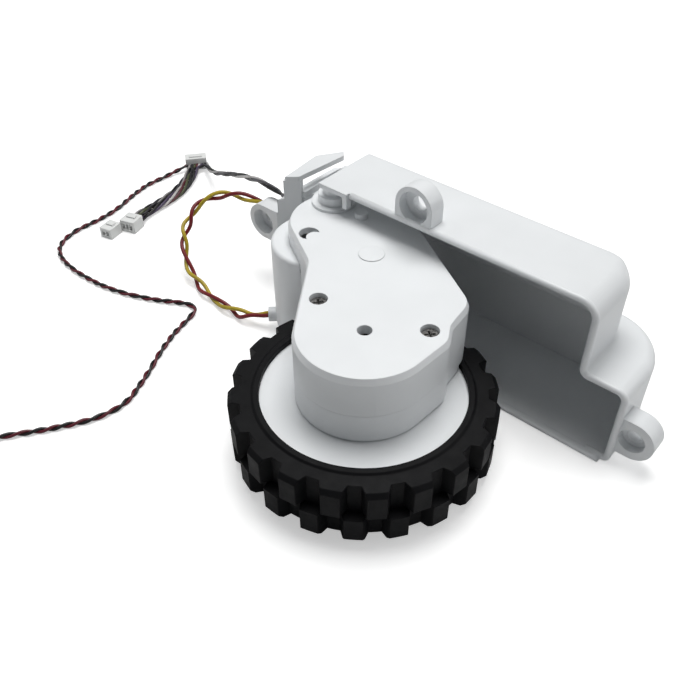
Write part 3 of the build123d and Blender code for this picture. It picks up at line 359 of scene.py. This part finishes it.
class WHEELMOD_OT_finishes(bpy.types.Operator):
    """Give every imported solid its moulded, rubber or metal finish"""

    bl_idname = "wheelmod.finishes"
    bl_label = "Finishes"

    def execute(self, context):
        look = context.scene.wheelmod_finish
        paint(moulded("white_plastic", look.plastic_color, look.plastic_roughness), *WHITE_NODES)
        # Painted shade: the housing gets a darker copy of the white plastic
        shade = tinted(look.plastic_color, HOUSING_PAINTED_SHADE)
        paint(moulded("housing_plastic", shade, look.plastic_roughness), "wheel_housing")
        paint(rubber("tyre_rubber", look.rubber_color, look.rubber_roughness), "tyre")
        paint(moulded("gear_plastic", look.gear_color, roughness=0.42, variation=0.05), *GEAR_NODES)
        paint(moulded("connector_plastic", PLUG_COLOR, roughness=0.42, variation=0.05), *PLUG_NODES)
        paint(moulded("dark_plastic", DARK_COLOR, roughness=0.45, variation=0.1), *DARK_NODES)
        paint(metal("turned_steel", look.steel_color, roughness=0.28, stretch=(1, 1, 6)), *PIN_NODES)
        for name, color, roughness, stretch, scale, nodes in METALS:
            paint(metal(name, color, roughness, stretch, scale), *nodes)
        paint(insulation("cord_grey", CORD_COLOR), *CORD_NODES)
        return {"FINISHED"}


# Lines, tubes and pieces

# Order of the routes' NURBS lines, and their steps from one control point to the next
LINE_ORDER = 3
LINE_STEPS = 24


def mesh_points(mesh):
    """The points of a mesh, as rows of x, y and z."""
    points = np.empty(len(mesh.vertices) * 3)
    mesh.vertices.foreach_get("co", points)
    return points.reshape(-1, 3)


def spline_line(route, spacing):
    """Evenly spaced points on the NURBS line that has the route as its control points."""
    curve = bpy.data.curves.new("route_line", "CURVE")
    curve.dimensions = "3D"
    spline = curve.splines.new("NURBS")
    spline.points.add(len(route) - 1)
    control = np.ones((len(route), 4))
    control[:, :3] = np.array(route) * MM
    spline.points.foreach_set("co", control.ravel())
    spline.order_u = LINE_ORDER
    spline.use_endpoint_u = True
    spline.resolution_u = LINE_STEPS
    holder = bpy.data.objects.new("route_line", curve)
    mesh = bpy.data.meshes.new_from_object(holder)
    line = mesh_points(mesh)
    bpy.data.objects.remove(holder)
    bpy.data.meshes.remove(mesh)
    bpy.data.curves.remove(curve)
    run = np.concatenate(([0.0], np.cumsum(np.linalg.norm(np.diff(line, axis=0), axis=1))))
    even = np.linspace(0, run[-1], int(run[-1] / spacing) + 1)
    return np.stack([np.interp(even, run, line[:, k]) for k in range(3)], axis=1), even


def cross_frame(line, up):
    """Level and upper side at each point of a line: side = tangent x up, upper = side x tangent."""
    tangent = np.gradient(line, axis=0)
    tangent /= np.linalg.norm(tangent, axis=1, keepdims=True)
    side = np.cross(tangent, up)
    side /= np.linalg.norm(side, axis=1, keepdims=True)
    return side, np.cross(side, tangent)


def tube(line, radius, sides, up=UP, flat=1.0):
    """Closed tube round a line: ring angle a gives point + radius (cos a side + flat sin a upper)."""
    side, upper = cross_frame(line, up)
    angle = np.linspace(0, 2 * pi, sides, endpoint=False)[None, :, None]
    across, above = side[:, None, :], (upper * flat)[:, None, :]
    rings = line[:, None, :] + radius * (np.cos(angle) * across + np.sin(angle) * above)
    index = np.arange(len(line) * sides).reshape(len(line), sides)
    after = np.roll(index, -1, axis=1)
    walls = np.stack([index[:-1], after[:-1], after[1:], index[1:]], axis=-1).reshape(-1, 4)
    caps = [index[0][::-1].tolist(), index[-1].tolist()]
    return rings.reshape(-1, 3), walls.tolist() + caps


def add_object(name, data):
    """New object of a mesh, lamp or camera, in the scene's collection."""
    piece = bpy.data.objects.new(name, data)
    bpy.context.scene.collection.objects.link(piece)
    return piece


def smooth_piece(name, parts, materials):
    """One smooth-shaded piece of (points, faces) parts: part k has material k, or the last there is."""
    starts = np.cumsum([0] + [len(points) for points, faces in parts]).tolist()
    mesh = bpy.data.meshes.new(name)
    mesh.from_pydata(
        np.concatenate([points for points, faces in parts]), [],
        [[i + start for i in face] for start, (points, faces) in zip(starts, parts) for face in faces],
    )
    for material in materials:
        mesh.materials.append(material)
    slots = [min(k, len(materials) - 1) for k, (points, faces) in enumerate(parts) for face in faces]
    mesh.polygons.foreach_set("material_index", slots)
    mesh.polygons.foreach_set("use_smooth", [True] * len(mesh.polygons))
    mesh.update()
    return add_object(name, mesh)


# Wires

# Distance between the points of a line, in mm
CORD_STEP = 0.5
PAIR_STEP = 0.4
# Where wires lie in a row, their spacing in radii
ROW_SPACING = 2.05
# Lengths of the slow waves in angle and in distance, in turns of the twist, and the shift of the
# first from wire to wire
ANGLE_WAVE = 3.1
SWELL_WAVE = 2.3
WAVE_SHIFT = 1.7
# Distance of the motor lead's wires from its middle, in radii
LEAD_SPREAD = 1.02
LEAD_ROUTE = (
    (-53.18, 17.52, 4.9), (-59.4, 13.9, 2.7), (-68.8, 13.4, 1.8), (-79.6, 14.6, 1.8),
    (-88.0, 16.6, 2.6), (-94.3, 18.9, 6.0), (-98.3, 22.6, 11.2), (-100.3, 27.4, 16.4),
    (-99.6, 33.2, 20.4), (-95.0, 37.6, 22.6), (-88.2, 39.9, 23.8), (-79.8, 43.4, 23.2),
    (-73.0, 45.3, 21.6), (-66.438, 46.027, 20.0),
)
# Two places near the lead's end at the cover, passed as its bend; only their presence counts, which keeps
# the lead off the housing's body
LEAD_BEND = ((-55.0, 17.0, 4.0), (-69.0, 28.0, 11.0))
CABLE_ROUTE = (
    (-66.438, 41.827, 30.4), (-73.0, 41.5, 31.7), (-80.5, 44.0, 30.2), (-90.0, 47.8, 26.3),
    (-101.0, 52.2, 21.4), (-113.0, 57.1, 15.5), (-124.5, 61.9, 9.5), (-134.6, 66.6, 4.6),
    (-144.3, 71.827, 2.5),
)
CABLE_WIRES = (
    ("wire_grey", linear(78, 77, 82)), ("wire_black_a", linear(16, 15, 17)),
    ("wire_pale", linear(196, 194, 194)),
)
LONG_ROUTE = (
    (-145.966, 69.702, 2.5), (-142.3, 63.9, 2.1), (-138.8, 58.0, 1.8), (-135.6, 50.9, 1.7),
    (-134.3, 43.0, 1.7), (-133.9, 35.1, 1.9), (-132.4, 27.35, 2.3),
)
LONG_WIRES = (
    ("wire_black_b", linear(20, 19, 21)), ("wire_violet", linear(74, 62, 88)),
    ("wire_white", linear(196, 192, 190)), ("wire_maroon", linear(92, 40, 48)),
    ("wire_olive", linear(78, 84, 56)), ("wire_black_c", linear(30, 28, 32)),
)
SHORT_ROUTE = (
    (-147.602, 67.616, 2.5), (-145.0, 62.5, 1.3), (-141.9, 57.0, 1.0), (-139.2, 50.0, 1.0),
    (-137.8, 42.5, 1.0), (-137.2, 33.6, 1.0), (-136.5, 26.6, 1.2), (-134.9, 19.9, 1.9),
)
SHORT_WIRES = (
    ("wire_black_d", linear(24, 22, 24)), ("wire_slate", linear(58, 58, 64)),
    ("wire_pale_b", linear(160, 156, 156)),
)
PAIR_ROUTE = (
    (-148.712, 66.2, 2.5), (-150.3, 60.0, 1.2), (-151.0, 53.0, 0.9), (-151.2, 46.0, 0.9),
    (-148.6, 36.5, 0.9), (-145.2, 27.0, 0.9), (-144.7, 17.0, 0.9), (-145.3, 8.0, 0.9),
    (-141.5, -1.0, 0.9), (-133.0, -5.2, 0.9), (-120.0, -6.0, 0.9), (-106.0, -4.4, 0.9),
    (-93.0, 0.4, 0.9), (-86.0, 4.4, 0.9), (-80.5, 7.6, 0.9), (-76.3, 7.4, 0.9),
    (-75.0, 3.2, 0.9), (-73.0, -4.5, 0.9), (-69.9, -12.3, 0.9), (-65.7, -19.9, 0.9),
    (-62.1, -27.4, 0.9), (-59.3, -34.1, 0.9), (-60.5, -42.6, 0.9), (-66.9, -53.3, 0.9),
    (-75.3, -64.4, 0.9), (-80.6, -72.8, 1.6),
)
PAIR_WIRES = (("wire_black", linear(15, 12, 14)), ("wire_dark_red", linear(98, 20, 36)))


def strands(kinds, distance, radius):
    """Like wires evenly round a middle, from their materials' names and colours."""
    return [
        (k / len(kinds), distance, radius, insulation(name, color)) for k, (name, color) in enumerate(kinds)
    ]


def bundle(name, line, run, wires, pitch, swell, fan, sides, loose):
    """Twisted wires along a line, as one mesh with one material for each wire.

    wires is a list of (turn, distance from the middle, radius, material). At run s a wire stands at
    angle 2 pi (s / pitch + turn + loose sin(2 pi s / (ANGLE_WAVE pitch) + WAVE_SHIFT turn)), at its
    distance times 1 + swell sin^2(2 pi s / (SWELL_WAVE pitch) + 2 pi turn). Over the two lengths
    fan, at the first and the last end, it moves over to its place in a level row.
    """
    side, upper = cross_frame(line, UP)
    fade = fade_in(np.minimum(run / fan[0], (run[-1] - run) / fan[1]), 0, 1)[:, None]
    parts = []
    for k, (turn, distance, radius, material) in enumerate(wires):
        wave = loose * np.sin(2 * pi * run / (ANGLE_WAVE * pitch) + WAVE_SHIFT * turn)
        angle = 2 * pi * (run / pitch + turn + wave)
        reach = distance * (1 + swell * np.sin(2 * pi * run / (SWELL_WAVE * pitch) + 2 * pi * turn) ** 2)
        twisted = reach[:, None] * (np.cos(angle)[:, None] * side + np.sin(angle)[:, None] * upper)
        row = (k - (len(wires) - 1) / 2) * ROW_SPACING * radius * side
        parts.append(tube(line + fade * twisted + (1 - fade) * row, radius, sides))
    return smooth_piece(name, parts, [material for turn, distance, radius, material in wires])


def lay_cord(piece, node, bend=None):
    """Hang the piece on the housing's body, or, when a bend is given, leave it unhung with its place baked
    into its points; then hide the imported cord.
    """
    if bend:
        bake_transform(piece)
    else:
        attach(piece, "housing")
    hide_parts(node)


class WHEELMOD_OT_motor_lead(bpy.types.Operator):
    """Loose red and yellow twisted pair from the motor cover to the housing"""

    bl_idname = "wheelmod.motor_lead"
    bl_label = "Motor lead"

    def execute(self, context):
        wire = context.scene.wheelmod_wire
        line, run = spline_line(LEAD_ROUTE, CORD_STEP * MM)
        radius = wire.lead_wire / 2
        kinds = (("wire_red", wire.red), ("wire_yellow", wire.yellow))
        wires = strands(kinds, distance=LEAD_SPREAD * radius, radius=radius)
        piece = bundle(
            "motor_lead_wires", line, run, wires, wire.lead_pitch, swell=0.75, fan=(11 * MM, 6 * MM),
            sides=12, loose=0.09,
        )
        lay_cord(
            piece, "motor_lead", bend=LEAD_BEND,
        )
        return {"FINISHED"}


class WHEELMOD_OT_sensor_cable(bpy.types.Operator):
    """Three thin wires from the housing's tower to the main connector"""

    bl_idname = "wheelmod.sensor_cable"
    bl_label = "Sensor cable"

    def execute(self, context):
        line, run = spline_line(CABLE_ROUTE, CORD_STEP * MM)
        wires = strands(CABLE_WIRES, distance=0.53 * MM, radius=0.45 * MM)
        piece = bundle(
            "sensor_cable_wires", line, run, wires, pitch=40 * MM, swell=0.1, fan=(5 * MM, 6 * MM),
            sides=12, loose=0.04,
        )
        lay_cord(
            piece, "sensor_cable",
        )
        return {"FINISHED"}


class WHEELMOD_OT_harness(bpy.types.Operator):
    """Bundle of thin wires from the main connector to the two small plugs"""

    bl_idname = "wheelmod.harness"
    bl_label = "Harness"

    def execute(self, context):
        line, run = spline_line(LONG_ROUTE, CORD_STEP * MM)
        wires = strands(LONG_WIRES, distance=1.05 * MM, radius=0.48 * MM)
        piece = bundle(
            "harness_long_wires", line, run, wires, pitch=26 * MM, swell=0.1, fan=(6 * MM, 5 * MM),
            sides=8, loose=0.04,
        )
        lay_cord(
            piece, "harness_long",
        )
        line, run = spline_line(SHORT_ROUTE, CORD_STEP * MM)
        wires = strands(SHORT_WIRES, distance=0.46 * MM, radius=0.42 * MM)
        piece = bundle(
            "harness_short_wires", line, run, wires, pitch=15 * MM, swell=0.1, fan=(5 * MM, 5 * MM),
            sides=8, loose=0.04,
        )
        lay_cord(
            piece, "harness_short",
        )
        return {"FINISHED"}


class WHEELMOD_OT_pair_lead(bpy.types.Operator):
    """Long thin twisted pair of black and dark red wires, laid on the table"""

    bl_idname = "wheelmod.pair_lead"
    bl_label = "Thin pair"

    def execute(self, context):
        wire = context.scene.wheelmod_wire
        line, run = spline_line(PAIR_ROUTE, PAIR_STEP * MM)
        radius = wire.pair_wire / 2
        wires = strands(PAIR_WIRES, distance=radius, radius=radius)
        piece = bundle(
            "pair_lead_wires", line, run, wires, wire.pair_pitch, swell=0.0, fan=(4 * MM, 4 * MM),
            sides=8, loose=0.06,
        )
        lay_cord(
            piece, "pair_lead",
        )
        return {"FINISHED"}


# Tension spring

# Places of the spring's posts, its coil and eye radii, and the run between eye and coil
SPRING_HOOK = (-32.05, 49.05, 41.6)
SPRING_ANCHOR = (13.66, 51.73, 41.6)
SPRING_COIL = 1.8
SPRING_EYE = 1.85
SPRING_NECK = 3.45
# Angles that an eye starts and ends at, and how finely the wire is drawn
EYE_ANGLES = (200, -110)
EYE_STEPS = 40
NECK_STEPS = 12
TURN_STEPS = 16
SPRING_SIDES = 8
SPRING_COLOR = (0.50, 0.50, 0.52)


class WHEELMOD_OT_spring(bpy.types.Operator):
    """Close-wound tension spring with an eye on each post"""

    bl_idname = "wheelmod.spring"
    bl_label = "Tension spring"

    def execute(self, context):
        size = context.scene.wheelmod_wire
        hook, anchor = np.array(SPRING_HOOK) * MM, np.array(SPRING_ANCHOR) * MM
        reach = np.linalg.norm(anchor - hook)
        way = (anchor - hook) / reach
        across = np.cross(UP, way)
        neck = SPRING_NECK * MM
        turns = int((reach - 2 * neck) / size.spring_pitch)
        # Coil: point = hook + way (neck + share of the length) + radius (cos a across + sin a up)
        share = np.linspace(0, 1, turns * TURN_STEPS + 1)[:, None]
        angle = 2 * pi * turns * share
        middle = hook + way * (neck + (reach - 2 * neck) * share)
        coil = middle + SPRING_COIL * MM * (np.cos(angle) * across + np.sin(angle) * UP)
        radius = size.spring_wire / 2
        parts = [tube(coil, radius, SPRING_SIDES, way)]
        # Eye: most of a circle round the post, then a straight run to the coil's first or last point
        for post, end, sign in ((hook, coil[0], 1), (anchor, coil[-1], -1)):
            bend = np.linspace(*np.radians(EYE_ANGLES), EYE_STEPS)[:, None]
            loop = post + SPRING_EYE * MM * (sign * np.cos(bend) * way + np.sin(bend) * across)
            run = loop[-1] + (end - loop[-1]) * np.linspace(0, 1, NECK_STEPS)[1:, None]
            parts.append(tube(np.concatenate((loop, run)), radius, SPRING_SIDES))
        wire = metal("spring_wire", SPRING_COLOR, roughness=0.26, scale=1500)
        piece = smooth_piece("tension_spring_wire", parts, [wire])
        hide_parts("tension_spring")
        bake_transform(piece)
        return {"FINISHED"}


# Housing shell

# A back corner of the housing that is rounder than in the solid: x and y of the corner, the solid's
# radius, the radius here, lowest and highest z, and the distances from the old wall, inside and
# outside it, between which the move comes in and goes out
Corner = namedtuple("Corner", "x y small big low high inner outer")
ROUNDER_CORNERS = (
    Corner(42.662, 59.827, 3.6, 9.5, 22.0, 50.0, inner=(-20.0, -19.0), outer=(1.2, 4.6)),
    Corner(54.962, 65.627, 14.0, 18.0, -1.0, 25.6, inner=(-8.0, -1.5), outer=(1.0, 4.0)),
)
# Cuts through each corner along each axis, and in mm the distance within which points are merged,
# the width under which a face is dropped, and the distance within which a cut keeps to a point
CORNER_CUTS = 6
MERGE_WITHIN = 0.0005
SLIVER = 0.01
CUT_WITHIN = 0.0001
# Angle, in degrees, over which an edge stays sharp
SHARP_ANGLE = 25.0


def rounder_corner(points, corner):
    """Points, in mm, moved so that the radius of an upright corner grows from small to big.

    Seen from the new arc's centre at angle a, the old wall is at big / cos a or big / sin a on its
    flats, and at q (cos a + sin a) + sqrt(small^2 - q^2 (1 - 2 cos a sin a)) on its arc, with
    q = big - small. A point's distance from that centre is scaled by big / old wall.
    """
    small, big = corner.small, corner.big
    centre = np.array((corner.x - big, corner.y - big))
    away = points[:, :2] - centre
    distance = np.linalg.norm(away, axis=1)
    near = (away.min(axis=1) > 0) & (points[:, 2] > corner.low) & (points[:, 2] < corner.high)
    # A point that isn't near stays, so any angle serves there
    cosine, sine = (np.where(near, part / np.maximum(distance, 1e-9), 0.5**0.5) for part in away.T)
    q = big - small
    arc = q * (cosine + sine) + np.sqrt(np.maximum(small**2 - q * q * (1 - 2 * cosine * sine), 0))
    longer, shorter = np.maximum(cosine, sine), np.minimum(cosine, sine)
    wall = np.where(shorter < longer * q / big, big / longer, arc)
    share = near * fade_in(distance - wall, *corner.inner) * (1 - fade_in(distance - wall, *corner.outer))
    moved = points.copy()
    moved[:, :2] = centre + away * (1 + share * (big / wall - 1))[:, None]
    return moved


def cut_corner(form, corner):
    """Cuts across a corner's walls in both directions, so that its bend has points to move."""
    for back in np.linspace(corner.big, corner.small, CORNER_CUTS):
        for place, across in (((corner.x - back, 0, 0), (1, 0, 0)), ((0, corner.y - back, 0), (0, 1, 0))):
            bmesh.ops.bisect_plane(
                form, geom=form.verts[:] + form.edges[:] + form.faces[:], dist=CUT_WITHIN * MM,
                plane_co=Vector(place) * MM, plane_no=across,
            )


class WHEELMOD_OT_housing(bpy.types.Operator):
    """Housing shell with its two back corners as round as in the photograph"""

    bl_idname = "wheelmod.housing"
    bl_label = "Housing"

    def execute(self, context):
        form = bmesh.new()
        form.from_mesh(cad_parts["wheel_housing"].data)
        bmesh.ops.remove_doubles(form, verts=form.verts, dist=MERGE_WITHIN * MM)
        for corner in ROUNDER_CORNERS:
            cut_corner(form, corner)
        bmesh.ops.dissolve_degenerate(form, edges=form.edges, dist=SLIVER * MM)
        bmesh.ops.triangulate(form, faces=form.faces)
        mesh = bpy.data.meshes.new("housing_shell")
        form.to_mesh(mesh)
        form.free()
        if "custom_normal" in mesh.attributes:
            mesh.attributes.remove(mesh.attributes["custom_normal"])
        points = mesh_points(mesh) / MM
        for corner in ROUNDER_CORNERS:
            points = rounder_corner(points, corner)
        mesh.vertices.foreach_set("co", (points * MM).ravel())
        mesh.polygons.foreach_set("use_smooth", [True] * len(mesh.polygons))
        mesh.set_sharp_from_angle(angle=radians(SHARP_ANGLE))
        mesh.materials.clear()
        mesh.materials.append(bpy.data.materials["housing_plastic"])
        mesh.update()
        piece = add_object("housing_shell", mesh)
        shading = piece.modifiers.new("even_shading", "WEIGHTED_NORMAL")
        shading.keep_sharp = True
        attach(piece, "housing")
        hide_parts("wheel_housing")
        return {"FINISHED"}


# Housing rim

# Rolled rim of the housing's open side: x and z of its middle line, with the radius at each corner,
# the y of its plane, and its own radius
RIM_CORNERS = ((48.0, 0.95), (54.21, 0.95), (54.21, 24.65), (41.91, 24.65), (41.91, 46.05), (-34.9, 46.05))
RIM_RADII = (1.5, 2.5, 1.9, 4.9)
RIM_PLANE = 35.95
RIM_RADIUS = 0.95
RIM_SIDES = 12
# Lip along the foot: its first and last x, its y and z, its radius, and its height as a share of that
LIP_RUN = (-20.0, 52.6)
LIP_PLACE = (35.0, 0.7)
LIP_RADIUS = 1.5
LIP_FLAT = 0.46
LIP_STEPS = 40
LIP_SIDES = 16


def rounded_path(corners, radii, steps=9):
    """Straight runs joined by arcs: an arc sweeps between its two touching points about its centre."""
    corners = [np.array(c, float) for c in corners]
    path = [corners[0][None]]
    for before, here, after, radius in zip(corners, corners[1:], corners[2:], radii):
        back = (before - here) / np.linalg.norm(before - here)
        ahead = (after - here) / np.linalg.norm(after - here)
        half = np.arccos(np.dot(back, ahead)) / 2
        middle = here + (back + ahead) / np.linalg.norm(back + ahead) * radius / np.sin(half)
        first = here + back * radius / np.tan(half) - middle
        last = here + ahead * radius / np.tan(half) - middle
        sweep = pi - 2 * half
        share = np.linspace(0, 1, steps)[:, None]
        turned = np.sin((1 - share) * sweep) * first + np.sin(share * sweep) * last
        path.append(middle + turned / np.sin(sweep))
    path.append(corners[-1][None])
    return np.concatenate(path)


class WHEELMOD_OT_rim(bpy.types.Operator):
    """Rolled rim round the housing's open side, and the lip along its foot"""

    bl_idname = "wheelmod.rim"
    bl_label = "Housing rim"

    def execute(self, context):
        path = np.insert(rounded_path(RIM_CORNERS, RIM_RADII), 1, RIM_PLANE, axis=1) * MM
        first, last = ((x, *LIP_PLACE) for x in LIP_RUN)
        foot = np.linspace(first, last, LIP_STEPS) * MM
        parts = [
            tube(path, RIM_RADIUS * MM, RIM_SIDES, up=(0, 1.0, 0)),
            tube(foot, LIP_RADIUS * MM, LIP_SIDES, flat=LIP_FLAT),
        ]
        piece = smooth_piece("housing_rim", parts, [bpy.data.materials["housing_plastic"]])
        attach(piece, "housing")
        return {"FINISHED"}


# Stage, in metres

FLOOR_REACH = 3.0
FLOOR_ROUGHNESS = 0.7
FLOOR_GLOSS = 0.2
# Distances from the origin between which the floor's own white comes in
NEAR_FLOOR = 0.22
FAR_FLOOR = 0.6
SKY_COLOR = (0.95, 0.98, 1.0)
# Name, setting that holds the power, place, aim, size and colour
LAMPS = (
    ("key_lamp", "key_power", (-0.09, 0.15, 0.65), (0, 0, 0.03), 0.38, (1.0, 0.995, 0.985)),
    ("left_lamp", "side_power", (-0.58, -0.10, 0.34), (0, 0, 0.02), 0.5, (0.97, 0.985, 1.0)),
    ("right_lamp", "end_power", (0.52, 0.34, 0.36), (0.04, 0.04, 0.02), 0.4, (1.0, 1.0, 1.0)),
)
# Place of the camera, its angles in degrees, the width of its frame in mm, and its nearest sight
CAMERA_PLACE = (0.0917, -0.1128, 0.1630)
CAMERA_TURN = (48.104, 0.0, 40.5)
CAMERA_FRAME = 36.0
CAMERA_NEAR = 0.01


def camera_switch(nodes, links, seen, other, output):
    """Show seen to the camera and other to all other rays."""
    path = nodes.new("ShaderNodeLightPath")
    mix = nodes.new("ShaderNodeMixShader")
    links.new(path.outputs["Is Camera Ray"], mix.inputs[0])
    links.new(other, mix.inputs[1])
    links.new(seen, mix.inputs[2])
    links.new(mix.outputs[0], output.inputs["Surface"])


def lay_floor(color, near_lift):
    """Pale floor, to the camera with extra white that grows from near_lift to 1 with distance."""
    mesh = bpy.data.meshes.new("floor")
    corners = [(x * FLOOR_REACH, y * FLOOR_REACH, 0) for x, y in ((-1, -1), (1, -1), (1, 1), (-1, 1))]
    mesh.from_pydata(corners, [], [(0, 1, 2, 3)])
    add_object("floor", mesh)
    material, nodes, links, shader, place = new_material("floor_white")
    shader.inputs["Base Color"].default_value = (*color, 1)
    shader.inputs["Roughness"].default_value = FLOOR_ROUGHNESS
    shader.inputs["Specular IOR Level"].default_value = FLOOR_GLOSS
    away = nodes.new("ShaderNodeVectorMath")
    away.operation = "LENGTH"
    links.new(place, away.inputs[0])
    lift = nodes.new("ShaderNodeMapRange")
    lift.interpolation_type = "SMOOTHSTEP"
    lift.inputs["From Min"].default_value = NEAR_FLOOR
    lift.inputs["From Max"].default_value = FAR_FLOOR
    lift.inputs["To Min"].default_value = near_lift
    lift.inputs["To Max"].default_value = 1.0
    links.new(away.outputs["Value"], lift.inputs["Value"])
    glow = nodes.new("ShaderNodeEmission")
    links.new(lift.outputs["Result"], glow.inputs["Strength"])
    lifted = nodes.new("ShaderNodeAddShader")
    links.new(shader.outputs[0], lifted.inputs[0])
    links.new(glow.outputs[0], lifted.inputs[1])
    camera_switch(nodes, links, lifted.outputs[0], shader.outputs[0], nodes["Material Output"])
    mesh.materials.append(material)


def hang_sky(scene, strength):
    """Soft light from all round, which the camera sees as plain white."""
    world = bpy.data.worlds.new("studio")
    scene.world = world
    world.use_nodes = True
    nodes, links = world.node_tree.nodes, world.node_tree.links
    soft = nodes["Background"]
    soft.inputs["Color"].default_value = (*SKY_COLOR, 1)
    soft.inputs["Strength"].default_value = strength
    white = nodes.new("ShaderNodeBackground")
    white.inputs["Color"].default_value = (1, 1, 1, 1)
    white.inputs["Strength"].default_value = 1.0
    camera_switch(nodes, links, white.outputs[0], soft.outputs[0], nodes["World Output"])


def area_lamp(name, power, place, target, size, color):
    """Square soft lamp aimed at a point."""
    light = bpy.data.lights.new(name, "AREA")
    light.shape = "SQUARE"
    light.size = size
    light.energy = power
    light.color = color
    lamp = add_object(name, light)
    lamp.location = place
    lamp.rotation_euler = (Vector(target) - Vector(place)).to_track_quat("-Z", "Y").to_euler()


class WHEELMOD_OT_stage(bpy.types.Operator):
    """Pale floor, soft lamps above and at both sides, and the camera"""

    bl_idname = "wheelmod.stage"
    bl_label = "Stage"

    def execute(self, context):
        scene = context.scene
        stage = scene.wheelmod_stage
        lay_floor(stage.floor_color, stage.floor_lift)
        hang_sky(scene, stage.sky_strength)
        for name, power, *settings in LAMPS:
            area_lamp(name, getattr(stage, power), *settings)
        view = bpy.data.cameras.new("camera")
        view.sensor_width = CAMERA_FRAME
        view.lens = stage.lens
        view.clip_start = CAMERA_NEAR
        camera = add_object("camera", view)
        camera.location = CAMERA_PLACE
        camera.rotation_euler = [radians(angle) for angle in CAMERA_TURN]
        scene.camera = camera
        scene.view_settings.view_transform = "Standard"
        return {"FINISHED"}


# Panel and start

GROUPS = (
    ("wheelmod_stage", WheelStageSettings), ("wheelmod_finish", WheelFinishSettings),
    ("wheelmod_wire", WheelWireSettings),
)
STEPS = (
    WHEELMOD_OT_stage, WHEELMOD_OT_finishes, WHEELMOD_OT_motor_lead, WHEELMOD_OT_sensor_cable,
    WHEELMOD_OT_harness, WHEELMOD_OT_pair_lead, WHEELMOD_OT_spring, WHEELMOD_OT_housing, WHEELMOD_OT_rim,
)


class WHEELMOD_PT_panel(bpy.types.Panel):
    """Lists the steps and their sizes and colours"""

    bl_idname = "WHEELMOD_PT_panel"
    bl_label = "Wheel Module"
    bl_space_type = "VIEW_3D"
    bl_region_type = "UI"
    bl_category = "Wheel Module"

    def draw(self, context):
        layout = self.layout
        for step in STEPS:
            layout.operator(step.bl_idname)
        for group, kind in GROUPS:
            box = layout.box()
            settings = getattr(context.scene, group)
            for key in settings.bl_rna.properties.keys():
                if key not in ("rna_type", "name"):
                    box.prop(settings, key)


CLASSES = (*(kind for group, kind in GROUPS), *STEPS, WHEELMOD_PT_panel)


def register():
    """Register the classes and hang the settings on the scene."""
    for cls in CLASSES:
        bpy.utils.register_class(cls)
    for group, kind in GROUPS:
        setattr(bpy.types.Scene, group, bpy.props.PointerProperty(type=kind))


def unregister():
    """Take the settings and classes away again."""
    for group, kind in reversed(GROUPS):
        delattr(bpy.types.Scene, group)
    for cls in reversed(CLASSES):
        bpy.utils.unregister_class(cls)


def main():
    """Run every step in order."""
    register()
    bpy.ops.wheelmod.stage()
    bpy.ops.wheelmod.finishes()
    bpy.ops.wheelmod.motor_lead()
    bpy.ops.wheelmod.sensor_cable()
    bpy.ops.wheelmod.harness()
    bpy.ops.wheelmod.pair_lead()
    bpy.ops.wheelmod.spring()
    bpy.ops.wheelmod.housing()
    bpy.ops.wheelmod.rim()


if __name__ == "__main__":
    main()
